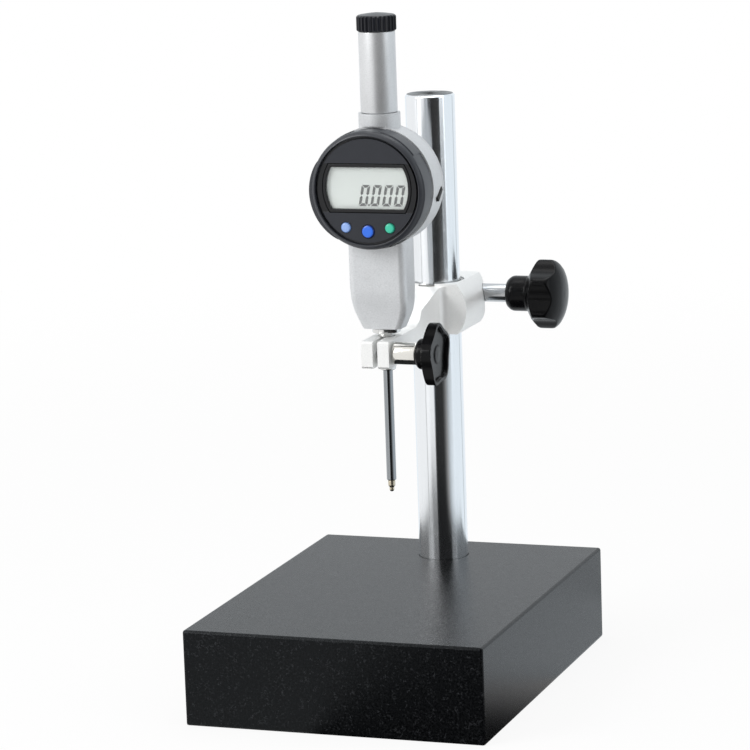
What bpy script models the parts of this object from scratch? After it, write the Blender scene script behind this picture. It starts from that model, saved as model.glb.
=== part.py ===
# Digital height gauge: a long-travel digital indicator carried over a granite base.
# Metres, +Z up. The origin is the centre of the base's underside, and the display faces -Y.
import math

import bmesh
import bpy
from mathutils import Vector

MM = 0.001
GAP = 0.3 * MM  # clearance between two pieces that seat on each other
OVERRUN = 3 * MM  # how far a cutter reaches past the wall that it cuts
FACET_ANGLE = math.radians(35)

# Granite base
BASE_WIDTH = 150 * MM
BASE_LENGTH = 200 * MM
BASE_HEIGHT = 47 * MM
BASE_EDGE = 1.2 * MM

# Column, and the screw that holds it from below
COLUMN_RADIUS = 12.5 * MM
COLUMN_Y = 70 * MM
COLUMN_STANDOUT = 237 * MM
COLUMN_SEAT_DEPTH = 20 * MM
COLUMN_CHAMFER = 1 * MM
BOLT_RADIUS = 4 * MM
BOLT_REACH = 18 * MM
BOLT_HEAD_RADIUS = 6.5 * MM
BOLT_HEAD_HEIGHT = 8 * MM
BOLT_SOCKET_RADIUS = 3.5 * MM
BOLT_SOCKET_DEPTH = 4 * MM
WASHER_RADIUS = 8.5 * MM
WASHER_THICKNESS = 1.6 * MM
COUNTERBORE_CLEARANCE = 2.5 * MM
COUNTERBORE_DEPTH = 12 * MM

# Arm: a hub around the column, a web and a clamp block for the stem
HUB_Z = 177 * MM
HUB_HEIGHT = 25.4 * MM
HUB_HALF_WIDTH = 20.7 * MM
HUB_SIDE_RADIUS = 18 * MM
HUB_FRONT = 14 * MM  # from the column's axis to the step face
HUB_BACK = 27 * MM  # from the column's axis to the rear face
HUB_REAR_RADIUS = 13 * MM
WEB_HALF_WIDTH = 7 * MM
WEB_FILLET = 4 * MM
WEB_TOP_DROP = 1.2 * MM
WEB_SLOPE_DROP = 6.8 * MM
BLOCK_FRONT = 18 * MM  # ahead of the stem's axis
BLOCK_REAR = 24 * MM  # behind the stem's axis, to the foot of the ramp
BLOCK_RAMP = 9 * MM
BLOCK_DROP = 2.3 * MM  # from the hub's middle to the block's top
BLOCK_HEIGHT = 13.3 * MM
BLOCK_EDGE = 1 * MM
SLIT_WIDTH = 2.5 * MM

# Split sleeve between column and arm
SLEEVE_WALL = 1.5 * MM
SLEEVE_RECESS = 0.5 * MM

# Column lock: stud, spacer and star knob behind the column
LOCK_BEHIND = 20 * MM
LOCK_RISE = 3 * MM  # above the hub's middle
LOCK_STUD_RADIUS = 3 * MM
LOCK_STUD_FAR = 15.5 * MM
LOCK_STUD_IN_KNOB = 14 * MM
LOCK_SPACER_RADIUS = 4.65 * MM
LOCK_SEAT_X = 17.4 * MM
LOCK_SPACER_LENGTH = 14.3 * MM
LOCK_HUB_RADIUS = 9 * MM
LOCK_HUB_LENGTH = 11 * MM
LOCK_STAR_RADIUS = 17.75 * MM
LOCK_STAR_THICKNESS = 14.5 * MM
LOCK_DOME_HEIGHT = 4.5 * MM
LOCK_VALLEY = 4.1 * MM
LOCK_LOBES = 6
LOCK_FIRST_LOBE = math.radians(90)
# hub: share of its radius and of its length
LOCK_HUB_SHARES = ((0.74, 0), (0.91, 0.07), (1, 0.22), (1, 1))
# star and dome: share of the star's radius and of the height
LOCK_STAR_SHARES = ((0.757, 0.184), (0.97, 0.34), (1, 0.42), (1, 0.86), (0.94, 1))
LOCK_DOME_SHARES = ((0.7, 0.55), (0.38, 0.9))

# Stem clamp: screw, collar and small star knob across the block
CLAMP_AHEAD = 10 * MM
CLAMP_DROP = 6.7 * MM  # below the block's top
CLAMP_SCREW_RADIUS = 2.5 * MM
CLAMP_SCREW_IN_KNOB = 7.2 * MM
CLAMP_COLLAR_RADIUS = 5.5 * MM
CLAMP_COLLAR_LENGTH = 11.9 * MM
CLAMP_HUB_RADIUS = 7.5 * MM
CLAMP_HUB_LENGTH = 4.2 * MM
CLAMP_STAR_RADIUS = 15.8 * MM
CLAMP_STAR_THICKNESS = 6.9 * MM
CLAMP_VALLEY = 4 * MM
CLAMP_RIM = 1.1 * MM
CLAMP_DISH = 1.6 * MM
CLAMP_LOBES = 5
CLAMP_FIRST_LOBE = math.radians(97)
# hub: share of its radius and of its length
CLAMP_HUB_SHARES = ((0.82, 0), (1, 0.25), (1, 1))
# star: share of its radius and of its thickness
CLAMP_STAR_SHARES = ((0.734, 0.148), (1, 0.3), (1, 1))

# Gauge axis and stem
STEM_Y = -6 * MM
STEM_RADIUS = 4 * MM
STEM_DROP = 3.4 * MM  # below the block
STEM_SOCKET = 10 * MM
STEM_FLANGE_RADIUS = 7 * MM
STEM_FLANGE_HEIGHT = 2.3 * MM

# Spindle and contact point
SPINDLE_RADIUS = 2.35 * MM
SPINDLE_BORE_GAP = 0.35 * MM
SPINDLE_DROP = 55 * MM  # below the stem
SPINDLE_LENGTH = 174.5 * MM
SPINDLE_TRAVEL = 50.8 * MM
CONTACT_LENGTH = 6 * MM
CONTACT_RADIUS = 1.75 * MM
CONTACT_BALL_RADIUS = 1.2 * MM
CONTACT_SHANK_RADIUS = 1 * MM
CONTACT_SHANK_LENGTH = 5 * MM
CONTACT_TAPER_SHARES = (0.45, 0.62)  # shares of its length where the taper starts and ends

# Indicator housing
HEAD_RISE = 48.6 * MM  # above the body's shoulder
HEAD_RADIUS = 28.6 * MM
FACE_AHEAD = 22.5 * MM  # from the stem's axis to the front rim
BEZEL_DEPTH = 13.8 * MM
CASE_RADIUS = 29.3 * MM
CASE_DEPTH = 13.2 * MM
CASE_WALL = 2 * MM
CASE_FRONT_WALL = 1.5 * MM
BODY_LIFT = 4.5 * MM  # above the arm's block
BODY_TAPER_HEIGHT = 20.8 * MM
BODY_HALF_WIDTH = 14.6 * MM
BODY_AHEAD = 12.6 * MM
BODY_BEHIND = 4.9 * MM
BODY_FOOT_HALF_WIDTH = 9.7 * MM
BODY_FOOT_AHEAD = 8.3 * MM
BODY_FOOT_BEHIND = 4 * MM
BODY_CORNER = 3.5 * MM
BODY_FOOT_CORNER = 2.8 * MM
# share of the taper's height, then of the full width and of the full depth ahead that is left there
BODY_TAPER_SHARES = (
    (0.29, 0.96, 0.78),
    (0.43, 0.9, 0.58),
    (0.58, 0.76, 0.4),
    (0.72, 0.55, 0.25),
    (0.87, 0.27, 0.1),
    (1, 0, 0),
)
BODY_WALL = 1.2 * MM
WELL_RISE = 12.8 * MM  # above the body's lower end
WELL_HALF_WIDTH = 11.5 * MM
WELL_AHEAD = 5 * MM
NECK_RADIUS = 10.15 * MM
NECK_STANDOUT = 5.8 * MM  # above the case
NECK_ROOT_RISE = 13.4 * MM

# Tube over the spindle's upper end, and its cap
TUBE_RADIUS = 8.9 * MM
TUBE_WALL = 1.7 * MM
TUBE_STANDOUT = 39 * MM
TUBE_SOCKET = 5 * MM
TUBE_STEP = 1 * MM
CAP_RADIUS = 9.65 * MM
CAP_HEIGHT = 8.7 * MM
CAP_PEAK = 1.1 * MM
CAP_FLUTE = 0.5 * MM
CAP_FLUTES = 26
CAP_SPIGOT = 4 * MM
CAP_BORE_RADIUS = 4.4 * MM
CAP_BORE_DEPTH = 6 * MM

# Guides inside the housing
BUSH_RADIUS = 5 * MM
BUSH_LENGTH = 6 * MM
GUIDE_ROD_X = -7 * MM
GUIDE_ROD_RADIUS = 1 * MM
GUIDE_ROD_SEAT = 5 * MM
GUIDE_ROD_LENGTH = 63 * MM
CARRIER_HEIGHT = 5 * MM
CARRIER_WALL = 0.9 * MM
CARRIER_REACH = 6.3 * MM
CARRIER_HALF_DEPTH = 2 * MM
PICKUP_WIDTH = 3.1 * MM
PICKUP_HALF_DEPTH = 2 * MM
PICKUP_HEIGHT = 10 * MM
SCALE_THICKNESS = 1.2 * MM
SCALE_HALF_DEPTH = 2.5 * MM
SCALE_LENGTH = 66 * MM
SCALE_RAISE = 3 * MM
SPRING_RADIUS = 3.5 * MM
SPRING_WIRE_RADIUS = 0.25 * MM
SPRING_TURNS = 12

# Board in the housing
MAIN_BOARD_NEAR_X = 9.4 * MM
MAIN_BOARD_INSET = 6.3 * MM  # from the case's wall
MAIN_BOARD_END_INSET = 15.3 * MM
BOARD_THICKNESS = 1.2 * MM

# Back cover and its screws
COVER_THICKNESS = 1.5 * MM
SCREW_RADIUS = 1 * MM
SCREW_LENGTH = 6 * MM
SCREW_HEAD_RADIUS = 1.9 * MM
SCREW_HEAD_HEIGHT = 0.9 * MM
SCREW_RECESS_RADIUS = 0.8 * MM
SCREW_RECESS_DEPTH = 0.5 * MM
SCREW_BOSS_RADIUS = 3 * MM
SCREW_INSET = 4.3 * MM
SCREW_COUNT = 4

# Data port in the housing's right side
PORT_SLANT = math.radians(52)
PORT_LENGTH = 8.6 * MM
PORT_WIDTH = 3 * MM
PORT_BEHIND_FACE = 9 * MM
PORT_DROP = 4.2 * MM
PORT_PROUD = 0.3 * MM

# Turning display unit
BEZEL_CHAMFER = 2.2 * MM
BEZEL_CHAMFER_SHARES = (0.5, 0.3)  # of its width and depth, at the bend in its middle
BEZEL_RIM = 1.1 * MM
BEZEL_LEDGE = 0.6 * MM
BEZEL_FLOOR = 1.5 * MM
HUB_PIVOT_RADIUS = 6 * MM
HUB_PIVOT_BORE = 3.4 * MM
HUB_PIVOT_REACH = 2.6 * MM
CLIP_GROOVE = 0.8 * MM
CLIP_THICKNESS = 0.7 * MM
CLIP_RADIUS = 8.5 * MM
PANEL_RECESS = 0.9 * MM
PANEL_THICKNESS = 1.7 * MM
WINDOW_RAISE = 1.2 * MM
WINDOW_RADIUS = 20.5 * MM
WINDOW_HALF_HEIGHT = 9.75 * MM
WINDOW_BORDER = 1.9 * MM
LENS_THICKNESS = 1.2 * MM
LCD_BORDER = 1 * MM
LCD_THICKNESS = 2 * MM
BUTTON_TRAVEL = 0.8 * MM
BUTTON_PROUD = 1 * MM
BUTTON_FLANGE = 0.55 * MM
BUTTON_FLANGE_THICKNESS = 0.8 * MM
BUTTON_ROUNDING = 0.5 * MM
SIDE_BUTTON_RADIUS = 2.45 * MM
CENTRE_BUTTON_RADIUS = 3.15 * MM
SIDE_BUTTON_X = 11.1 * MM
SIDE_BUTTON_DROP = 17.8 * MM
CENTRE_BUTTON_DROP = 19.6 * MM
SWITCH_RADIUS = 2 * MM
SWITCH_HEIGHT = 0.4 * MM

# Battery tray in the display unit's rim
TRAY_ANGLE = math.radians(124)
TRAY_HALF_WIDTH = 7.6 * MM
TRAY_HEIGHT = 5 * MM
TRAY_INNER_WALL = 1 * MM
TRAY_FLOOR = 0.8 * MM
TRAY_PROUD = 0.5 * MM
TRAY_OUTER_WALL = 2.6 * MM
CELL_RADIUS = 5.8 * MM
CELL_THICKNESS = 3.1 * MM

# Facet counts
FINE_STEPS = 44
ROUND_STEPS = 32
SMALL_STEPS = 16
CORNER_STEPS = 5
SIDE_ARC_STEPS = 8
LOBE_STEPS = 8
LOBE_POWER = 1.4  # below 2, the valleys widen and the lobes narrow
SPRING_STEPS = 8
SPRING_SIDES = 4

# Places worked out from the sizes above
COLUMN_FOOT_Z = BASE_HEIGHT - COLUMN_SEAT_DEPTH + GAP
COLUMN_TOP_Z = BASE_HEIGHT + COLUMN_STANDOUT
BOLT_HOLE_RADIUS = BOLT_RADIUS + GAP
SLEEVE_BORE = COLUMN_RADIUS + GAP
SLEEVE_RADIUS = SLEEVE_BORE + SLEEVE_WALL
HUB_BORE = SLEEVE_RADIUS + GAP
HUB_TOP_Z = HUB_Z + HUB_HEIGHT / 2
HUB_BOTTOM_Z = HUB_Z - HUB_HEIGHT / 2
BLOCK_TOP_Z = HUB_Z - BLOCK_DROP
BLOCK_BOTTOM_Z = BLOCK_TOP_Z - BLOCK_HEIGHT
LOCK_Z = HUB_Z + LOCK_RISE
CLAMP_Z = BLOCK_TOP_Z - CLAMP_DROP
STEM_BOTTOM_Z = BLOCK_BOTTOM_Z - STEM_DROP
SPINDLE_BOTTOM_Z = STEM_BOTTOM_Z - SPINDLE_DROP
BODY_BOTTOM_Z = BLOCK_TOP_Z + BODY_LIFT
BODY_SHOULDER_Z = BODY_BOTTOM_Z + BODY_TAPER_HEIGHT
WELL_FLOOR_Z = BODY_BOTTOM_Z + WELL_RISE
HEAD_Z = BODY_SHOULDER_Z + HEAD_RISE
NECK_TOP_Z = HEAD_Z + CASE_RADIUS + NECK_STANDOUT
NECK_ROOT_Z = HEAD_Z + NECK_ROOT_RISE
TUBE_TOP_Z = NECK_TOP_Z + TUBE_STANDOUT
STEP_Y = COLUMN_Y - HUB_FRONT
REAR_Y = COLUMN_Y + HUB_BACK
LOCK_Y = COLUMN_Y + LOCK_BEHIND
CLAMP_Y = STEM_Y - CLAMP_AHEAD
RIM_Y = STEM_Y - FACE_AHEAD
BEZEL_BACK_Y = RIM_Y + BEZEL_DEPTH
CASE_FRONT_Y = BEZEL_BACK_Y + GAP
CASE_BACK_Y = CASE_FRONT_Y + CASE_DEPTH
CASE_FLOOR_Y = CASE_FRONT_Y + CASE_FRONT_WALL
COVER_Y = CASE_BACK_Y + GAP
CAVITY_RADIUS = CASE_RADIUS - CASE_WALL
BORE_RADIUS = SPINDLE_RADIUS + SPINDLE_BORE_GAP
BUSH_Z = NECK_TOP_Z - TUBE_SOCKET - BUSH_LENGTH
TUBE_SOCKET_RADIUS = TUBE_RADIUS - TUBE_STEP
CAP_Z = TUBE_TOP_Z + GAP
FLANGE_TOP_Z = BODY_BOTTOM_Z - GAP
PANEL_Y = RIM_Y + PANEL_RECESS
PANEL_BACK_Y = PANEL_Y + PANEL_THICKNESS
PANEL_RADIUS = HEAD_RADIUS - BEZEL_CHAMFER - BEZEL_RIM - GAP
CUP_RADIUS = PANEL_RADIUS + GAP - BEZEL_LEDGE
CUP_FLOOR_Y = BEZEL_BACK_Y - BEZEL_FLOOR
LCD_Y = PANEL_BACK_Y + GAP
WINDOW_Z = HEAD_Z + WINDOW_RAISE
CARRIER_Z = WELL_FLOOR_Z + GAP
CELL_REACH = HEAD_RADIUS - TRAY_OUTER_WALL - GAP - CELL_RADIUS
TRAY_BACK_Y = CUP_FLOOR_Y - GAP
TRAY_FRONT_Y = TRAY_BACK_Y - TRAY_HEIGHT
SCREW_CIRCLE = CASE_RADIUS - SCREW_INSET


def clear_scene():
    for old in list(bpy.data.objects):
        bpy.data.objects.remove(old, do_unlink=True)


def make_finish(name, colour, roughness, metallic):
    finish = bpy.data.materials.new(name)
    finish.use_nodes = True
    shader = finish.node_tree.nodes["Principled BSDF"]
    shader.inputs["Base Color"].default_value = (*colour, 1)
    shader.inputs["Roughness"].default_value = roughness
    shader.inputs["Metallic"].default_value = metallic
    return finish


def along(axis, u, v, w):
    """The point whose height w lies along the named axis."""
    return Vector({"X": (w, u, v), "Y": (u, w, v), "Z": (u, v, w)}[axis])


def add_object(name, points, faces, finish):
    """A closed mesh object with its faces pointing out."""
    mesh = bpy.data.meshes.new(name)
    mesh.from_pydata(points, [], faces)
    shape = bmesh.new()
    shape.from_mesh(mesh)
    bmesh.ops.recalc_face_normals(shape, faces=shape.faces)
    shape.to_mesh(mesh)
    shape.free()
    mesh.shade_smooth()
    mesh.set_sharp_from_angle(angle=FACET_ANGLE)
    piece = bpy.data.objects.new(name, mesh)
    bpy.context.scene.collection.objects.link(piece)
    if finish:
        mesh.materials.append(finish)
    return piece


def loft(name, axis, rings, finish, hollow=False):
    """Skins rings of (u, v, w) points. A ring of one point is a pole, and a hollow skin closes on itself."""
    points, starts = [], []
    for ring in rings:
        starts.append(len(points))
        points += [along(axis, *point) for point in ring]
    faces = []
    count = max(len(ring) for ring in rings)
    pairs = list(zip(range(len(rings) - 1), range(1, len(rings))))
    if hollow:
        pairs.append((len(rings) - 1, 0))
    for low, high in pairs:
        a, b = starts[low], starts[high]
        if len(rings[low]) == len(rings[high]) == 1:
            continue
        for i in range(count):
            j = (i + 1) % count
            if len(rings[low]) == 1:
                faces.append((a, b + i, b + j))
            elif len(rings[high]) == 1:
                faces.append((a + i, a + j, b))
            else:
                faces.append((a + i, a + j, b + j, b + i))
    if not hollow:
        for end in (0, -1):
            if len(rings[end]) > 1:
                faces.append(tuple(range(starts[end], starts[end] + count)))
    return add_object(name, points, faces, finish)


def circle(radius, steps, start=0.0, turn=2 * math.pi):
    """Points round a circle, or along an arc with both ends."""
    whole = abs(turn) >= 2 * math.pi
    count = steps if whole else steps + 1
    return [
        (radius * math.cos(start + turn * i / steps), radius * math.sin(start + turn * i / steps))
        for i in range(count)
    ]


def turned(name, axis, profile, steps, finish, hollow=False):
    """Turns a profile of (radius, height) points about the axis."""
    rings = []
    for radius, height in profile:
        outline = circle(radius, steps) if radius > 0 else [(0, 0)]
        rings.append([(u, v, height) for u, v in outline])
    return loft(name, axis, rings, finish, hollow)


def prism(name, axis, outline, low, high, finish=None):
    rings = [[(u, v, w) for u, v in outline] for w in (low, high)]
    return loft(name, axis, rings, finish)


def box_outline(low_u, low_v, high_u, high_v):
    return [(low_u, low_v), (high_u, low_v), (high_u, high_v), (low_u, high_v)]


def block(name, low, high, finish=None):
    outline = box_outline(low[0], low[1], high[0], high[1])
    return prism(name, "Z", outline, low[2], high[2], finish)


def rounded_outline(half_width, front, back, corner):
    """A rectangle in plan with round corners."""
    outline = []
    corners = ((half_width, back, 0), (-half_width, back, 1), (-half_width, front, 2), (half_width, front, 3))
    for x, y, quarter in corners:
        centre_x = x - math.copysign(corner, x)
        centre_y = y - corner if y == back else y + corner
        arc = circle(corner, CORNER_STEPS, quarter * math.pi / 2, math.pi / 2)
        outline += [(centre_x + u, centre_y + v) for u, v in arc]
    return outline


def clipped_circle(radius, half_height):
    """A circle whose top and bottom are cut off flat."""
    reach = math.asin(half_height / radius)
    right = circle(radius, SIDE_ARC_STEPS, -reach, 2 * reach)
    left = circle(radius, SIDE_ARC_STEPS, math.pi - reach, 2 * reach)
    return right + left


def use_as_helper(helper):
    helper.hide_render = True
    helper.display_type = "WIRE"


def combine(piece, helper, operation):
    use_as_helper(helper)
    change = piece.modifiers.new(helper.name, "BOOLEAN")
    change.operation = operation
    change.solver = "EXACT"
    change.object = helper


def cut(piece, *helpers):
    for helper in helpers:
        combine(piece, helper, "DIFFERENCE")


def join(piece, *helpers):
    for helper in helpers:
        combine(piece, helper, "UNION")


def at(piece, x=0.0, y=0.0, z=0.0):
    piece.location = (x, y, z)
    return piece


def rod(name, axis, radius, low, high, steps=SMALL_STEPS, finish=None):
    profile = [(radius, low), (radius, high)]
    return turned(name, axis, profile, steps, finish)


def tube(name, axis, inner, outer, low, high, steps, finish):
    profile = [(outer, high), (outer, low), (inner, low), (inner, high)]
    return turned(name, axis, profile, steps, finish, hollow=True)


def pivot(name, place, parent=None):
    """An empty on a joint's axis, which carries the pieces that move with it."""
    empty = bpy.data.objects.new(name, None)
    bpy.context.scene.collection.objects.link(empty)
    empty["place"] = place
    empty.location = Vector(place)
    if parent:
        empty.parent = parent
        empty.location -= Vector(parent["place"])
    return empty


def carry(empty, *pieces):
    """Hangs pieces, and the helpers of their modifiers, on an empty without moving them."""
    for piece in pieces:
        helpers = [change.object for change in piece.modifiers if change.type == "BOOLEAN"]
        for each in [piece] + helpers:
            if each.parent is None:
                each.parent = empty
                each.location -= Vector(empty["place"])


def star_ring(outer, star, valley, lobes, first, height):
    """A round ring cut back to the star's outline, which dips by the valley's depth between the lobes."""
    steps = lobes * LOBE_STEPS
    ring = []
    for i in range(steps):
        angle = 2 * math.pi * i / steps + first
        dip = abs(math.sin(lobes * math.pi * i / steps)) ** LOBE_POWER
        reach = min(outer, star - valley * dip)
        ring.append((reach * math.cos(angle), reach * math.sin(angle), height))
    return ring


def make_base(finish):
    """Granite block with the column's seat and the screw's counterbore."""
    base = block(
        "granite_base",
        (-BASE_WIDTH / 2, -BASE_LENGTH / 2, 0),
        (BASE_WIDTH / 2, BASE_LENGTH / 2, BASE_HEIGHT),
        finish,
    )
    edge = base.modifiers.new("edge", "BEVEL")
    edge.width = BASE_EDGE
    edge.segments = 2
    seat = rod("column_seat_cut", "Z", COLUMN_RADIUS + GAP, COLUMN_FOOT_Z - GAP, BASE_HEIGHT + OVERRUN, FINE_STEPS)
    hole = rod("bolt_hole_cut", "Z", BOLT_HOLE_RADIUS, -OVERRUN, BASE_HEIGHT)
    counterbore = rod(
        "counterbore_cut", "Z", WASHER_RADIUS + COUNTERBORE_CLEARANCE, -OVERRUN, COUNTERBORE_DEPTH, ROUND_STEPS
    )
    for helper in (seat, hole, counterbore):
        at(helper, y=COLUMN_Y)
    cut(base, seat, hole, counterbore)
    return base


def make_column(steel, plated):
    """Polished column, screwed down through the base."""
    hole_top = COLUMN_FOOT_Z + BOLT_REACH + GAP
    column = turned(
        "column",
        "Z",
        [
            (BOLT_HOLE_RADIUS, COLUMN_FOOT_Z),
            (COLUMN_RADIUS - COLUMN_CHAMFER, COLUMN_FOOT_Z),
            (COLUMN_RADIUS, COLUMN_FOOT_Z + COLUMN_CHAMFER),
            (COLUMN_RADIUS, COLUMN_TOP_Z - COLUMN_CHAMFER),
            (COLUMN_RADIUS - COLUMN_CHAMFER, COLUMN_TOP_Z),
            (0, COLUMN_TOP_Z),
            (0, hole_top),
            (BOLT_HOLE_RADIUS, hole_top),
        ],
        FINE_STEPS,
        plated,
        hollow=True,
    )
    washer_low = COUNTERBORE_DEPTH - GAP - WASHER_THICKNESS
    washer = tube(
        "column_washer",
        "Z",
        BOLT_HOLE_RADIUS,
        WASHER_RADIUS,
        washer_low,
        washer_low + WASHER_THICKNESS,
        SMALL_STEPS,
        steel,
    )
    head_top = washer_low - GAP
    bolt = turned(
        "column_bolt",
        "Z",
        [
            (0, COLUMN_FOOT_Z + BOLT_REACH),
            (BOLT_RADIUS, COLUMN_FOOT_Z + BOLT_REACH),
            (BOLT_RADIUS, head_top),
            (BOLT_HEAD_RADIUS, head_top),
            (BOLT_HEAD_RADIUS, head_top - BOLT_HEAD_HEIGHT),
            (0, head_top - BOLT_HEAD_HEIGHT),
        ],
        SMALL_STEPS,
        steel,
    )
    head_low = head_top - BOLT_HEAD_HEIGHT
    socket = rod("bolt_socket_cut", "Z", BOLT_SOCKET_RADIUS, head_low - OVERRUN, head_low + BOLT_SOCKET_DEPTH, 6)
    for piece in (column, washer, bolt, socket):
        at(piece, y=COLUMN_Y)
    cut(bolt, socket)
    return [column, washer, bolt]


def make_sleeve(finish):
    """Split sleeve that slides on the column and that the arm grips."""
    half_slit = math.asin(SLIT_WIDTH / 2 / SLEEVE_BORE)
    start = math.pi / 2 + half_slit
    turn = 2 * math.pi - 2 * half_slit
    outline = circle(SLEEVE_RADIUS, ROUND_STEPS, start, turn)
    outline += reversed(circle(SLEEVE_BORE, ROUND_STEPS, start, turn))
    sleeve = prism(
        "guide_sleeve", "Z", outline, HUB_BOTTOM_Z + SLEEVE_RECESS, HUB_TOP_Z - SLEEVE_RECESS, finish
    )
    return at(sleeve, y=COLUMN_Y)


def hub_plan():
    """The hub seen from above: straight sides that round into the rear face."""
    side = HUB_HALF_WIDTH
    outline = [(-side, STEP_Y), (side, STEP_Y)]
    arc = circle(HUB_REAR_RADIUS, SIDE_ARC_STEPS, 0, math.pi / 2)
    outline += [(side - HUB_REAR_RADIUS + u, REAR_Y - HUB_REAR_RADIUS + v) for u, v in arc]
    outline += [(HUB_REAR_RADIUS - side - u, REAR_Y - HUB_REAR_RADIUS + v) for u, v in reversed(arc)]
    return outline


def hub_front():
    """The hub seen from the front: flat top and bottom between bulging sides."""
    half = HUB_HEIGHT / 2
    reach = math.asin(half / HUB_SIDE_RADIUS)
    inset = HUB_HALF_WIDTH - HUB_SIDE_RADIUS
    arc = circle(HUB_SIDE_RADIUS, SIDE_ARC_STEPS, -reach, 2 * reach)
    right = [(inset + u, HUB_Z + v) for u, v in arc]
    return right + [(-u, v) for u, v in reversed(right)]


def web_plan():
    """The web seen from above, flaring into the hub's step face through a fillet."""
    start = STEP_Y - WEB_FILLET
    arc = circle(WEB_FILLET, CORNER_STEPS, math.pi, -math.pi / 2)
    flare = [(WEB_HALF_WIDTH + WEB_FILLET + u, start + v) for u, v in arc]
    right = [(WEB_HALF_WIDTH, STEM_Y - BLOCK_FRONT)] + flare
    right.append((WEB_HALF_WIDTH + WEB_FILLET, STEP_Y + OVERRUN))
    return right + [(-x, y) for x, y in reversed(right)]


def web_side():
    """The web seen from the side: clamp block in front, then a ramp and a slope up to the hub."""
    front = STEM_Y - BLOCK_FRONT
    foot = STEM_Y + BLOCK_REAR
    crest = foot + BLOCK_RAMP
    web_top = HUB_TOP_Z - WEB_TOP_DROP
    ramp_top = web_top - WEB_SLOPE_DROP
    ramp_mid = (BLOCK_TOP_Z + ramp_top) / 2
    inner = STEP_Y + OVERRUN
    return [
        (front, BLOCK_BOTTOM_Z + BLOCK_EDGE),
        (front + BLOCK_EDGE, BLOCK_BOTTOM_Z),
        (foot, BLOCK_BOTTOM_Z),
        (inner, HUB_BOTTOM_Z),
        (inner, web_top),
        (STEP_Y, web_top),
        (crest, ramp_top),
        ((foot + crest) / 2 + BLOCK_EDGE, ramp_mid - BLOCK_EDGE),
        (foot, BLOCK_TOP_Z),
        (front + BLOCK_EDGE, BLOCK_TOP_Z),
        (front, BLOCK_TOP_Z - BLOCK_EDGE),
    ]


def make_arm(finish):
    """One casting: split hub, web and split clamp block."""
    low = BLOCK_BOTTOM_Z - OVERRUN
    high = HUB_TOP_Z + OVERRUN
    arm = prism("arm", "Z", hub_plan(), low, high, finish)
    wide = HUB_HALF_WIDTH + OVERRUN
    hub_form = prism("hub_form", "Y", hub_front(), STEP_Y - OVERRUN, REAR_Y + OVERRUN)
    combine(arm, hub_form, "INTERSECT")
    web = prism("web_form", "Z", web_plan(), low, high)
    web_profile = prism("web_profile", "X", web_side(), -wide, wide)
    combine(web, web_profile, "INTERSECT")
    join(arm, web)
    bore = at(rod("hub_bore_cut", "Z", HUB_BORE, low, high, FINE_STEPS), y=COLUMN_Y)
    slit = block("hub_slit_cut", (-SLIT_WIDTH / 2, COLUMN_Y, low), (SLIT_WIDTH / 2, REAR_Y + OVERRUN, high))
    stud_hole = at(rod("stud_hole_cut", "X", LOCK_STUD_RADIUS + GAP, -wide, wide), y=LOCK_Y, z=LOCK_Z)
    seat_radius = LOCK_SPACER_RADIUS + GAP + GAP
    stud_seat = at(rod("stud_seat_cut", "X", seat_radius, LOCK_SEAT_X, wide), y=LOCK_Y, z=LOCK_Z)
    stem_bore = at(rod("stem_bore_cut", "Z", STEM_RADIUS + GAP, low, high, ROUND_STEPS), y=STEM_Y)
    stem_slit = block(
        "stem_slit_cut",
        (-SLIT_WIDTH / 2, STEM_Y - BLOCK_FRONT - OVERRUN, low),
        (SLIT_WIDTH / 2, STEM_Y, high),
    )
    screw_hole = at(rod("screw_hole_cut", "X", CLAMP_SCREW_RADIUS + GAP, -wide, wide), y=CLAMP_Y, z=CLAMP_Z)
    cut(arm, bore, slit, stud_hole, stud_seat, stem_bore, stem_slit, screw_hole)
    return arm


def make_lock(plastic, steel, plated):
    """Stud, spacer and knob that close the hub's slit."""
    spacer_low = LOCK_SEAT_X + GAP
    spacer_high = spacer_low + LOCK_SPACER_LENGTH
    spacer = tube(
        "lock_spacer", "X", LOCK_STUD_RADIUS + GAP, LOCK_SPACER_RADIUS, spacer_low, spacer_high, SMALL_STEPS, plated
    )
    knob_low = spacer_high + GAP
    stud = rod(
        "lock_stud", "X", LOCK_STUD_RADIUS, -LOCK_STUD_FAR, knob_low + LOCK_STUD_IN_KNOB, SMALL_STEPS, steel
    )
    star_low = knob_low + LOCK_HUB_LENGTH
    star_high = star_low + LOCK_STAR_THICKNESS
    bore = LOCK_STUD_RADIUS + GAP
    knob_rings = [(bore, knob_low + LOCK_STUD_IN_KNOB + GAP), (bore, knob_low)]
    for width, length in LOCK_HUB_SHARES:
        knob_rings.append((LOCK_HUB_RADIUS * width, knob_low + LOCK_HUB_LENGTH * length))
    for width, height in LOCK_STAR_SHARES:
        knob_rings.append((LOCK_STAR_RADIUS * width, star_low + LOCK_STAR_THICKNESS * height))
    for width, height in LOCK_DOME_SHARES:
        knob_rings.append((LOCK_STAR_RADIUS * width, star_high + LOCK_DOME_HEIGHT * height))
    rings = [
        star_ring(radius, LOCK_STAR_RADIUS, LOCK_VALLEY, LOCK_LOBES, LOCK_FIRST_LOBE, height)
        for radius, height in knob_rings
    ]
    rings.append([(0, 0, star_high + LOCK_DOME_HEIGHT)])
    knob = loft("lock_knob", "X", rings, plastic)
    for piece in (spacer, stud, knob):
        at(piece, y=LOCK_Y, z=LOCK_Z)
    return spacer, stud, knob


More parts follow.
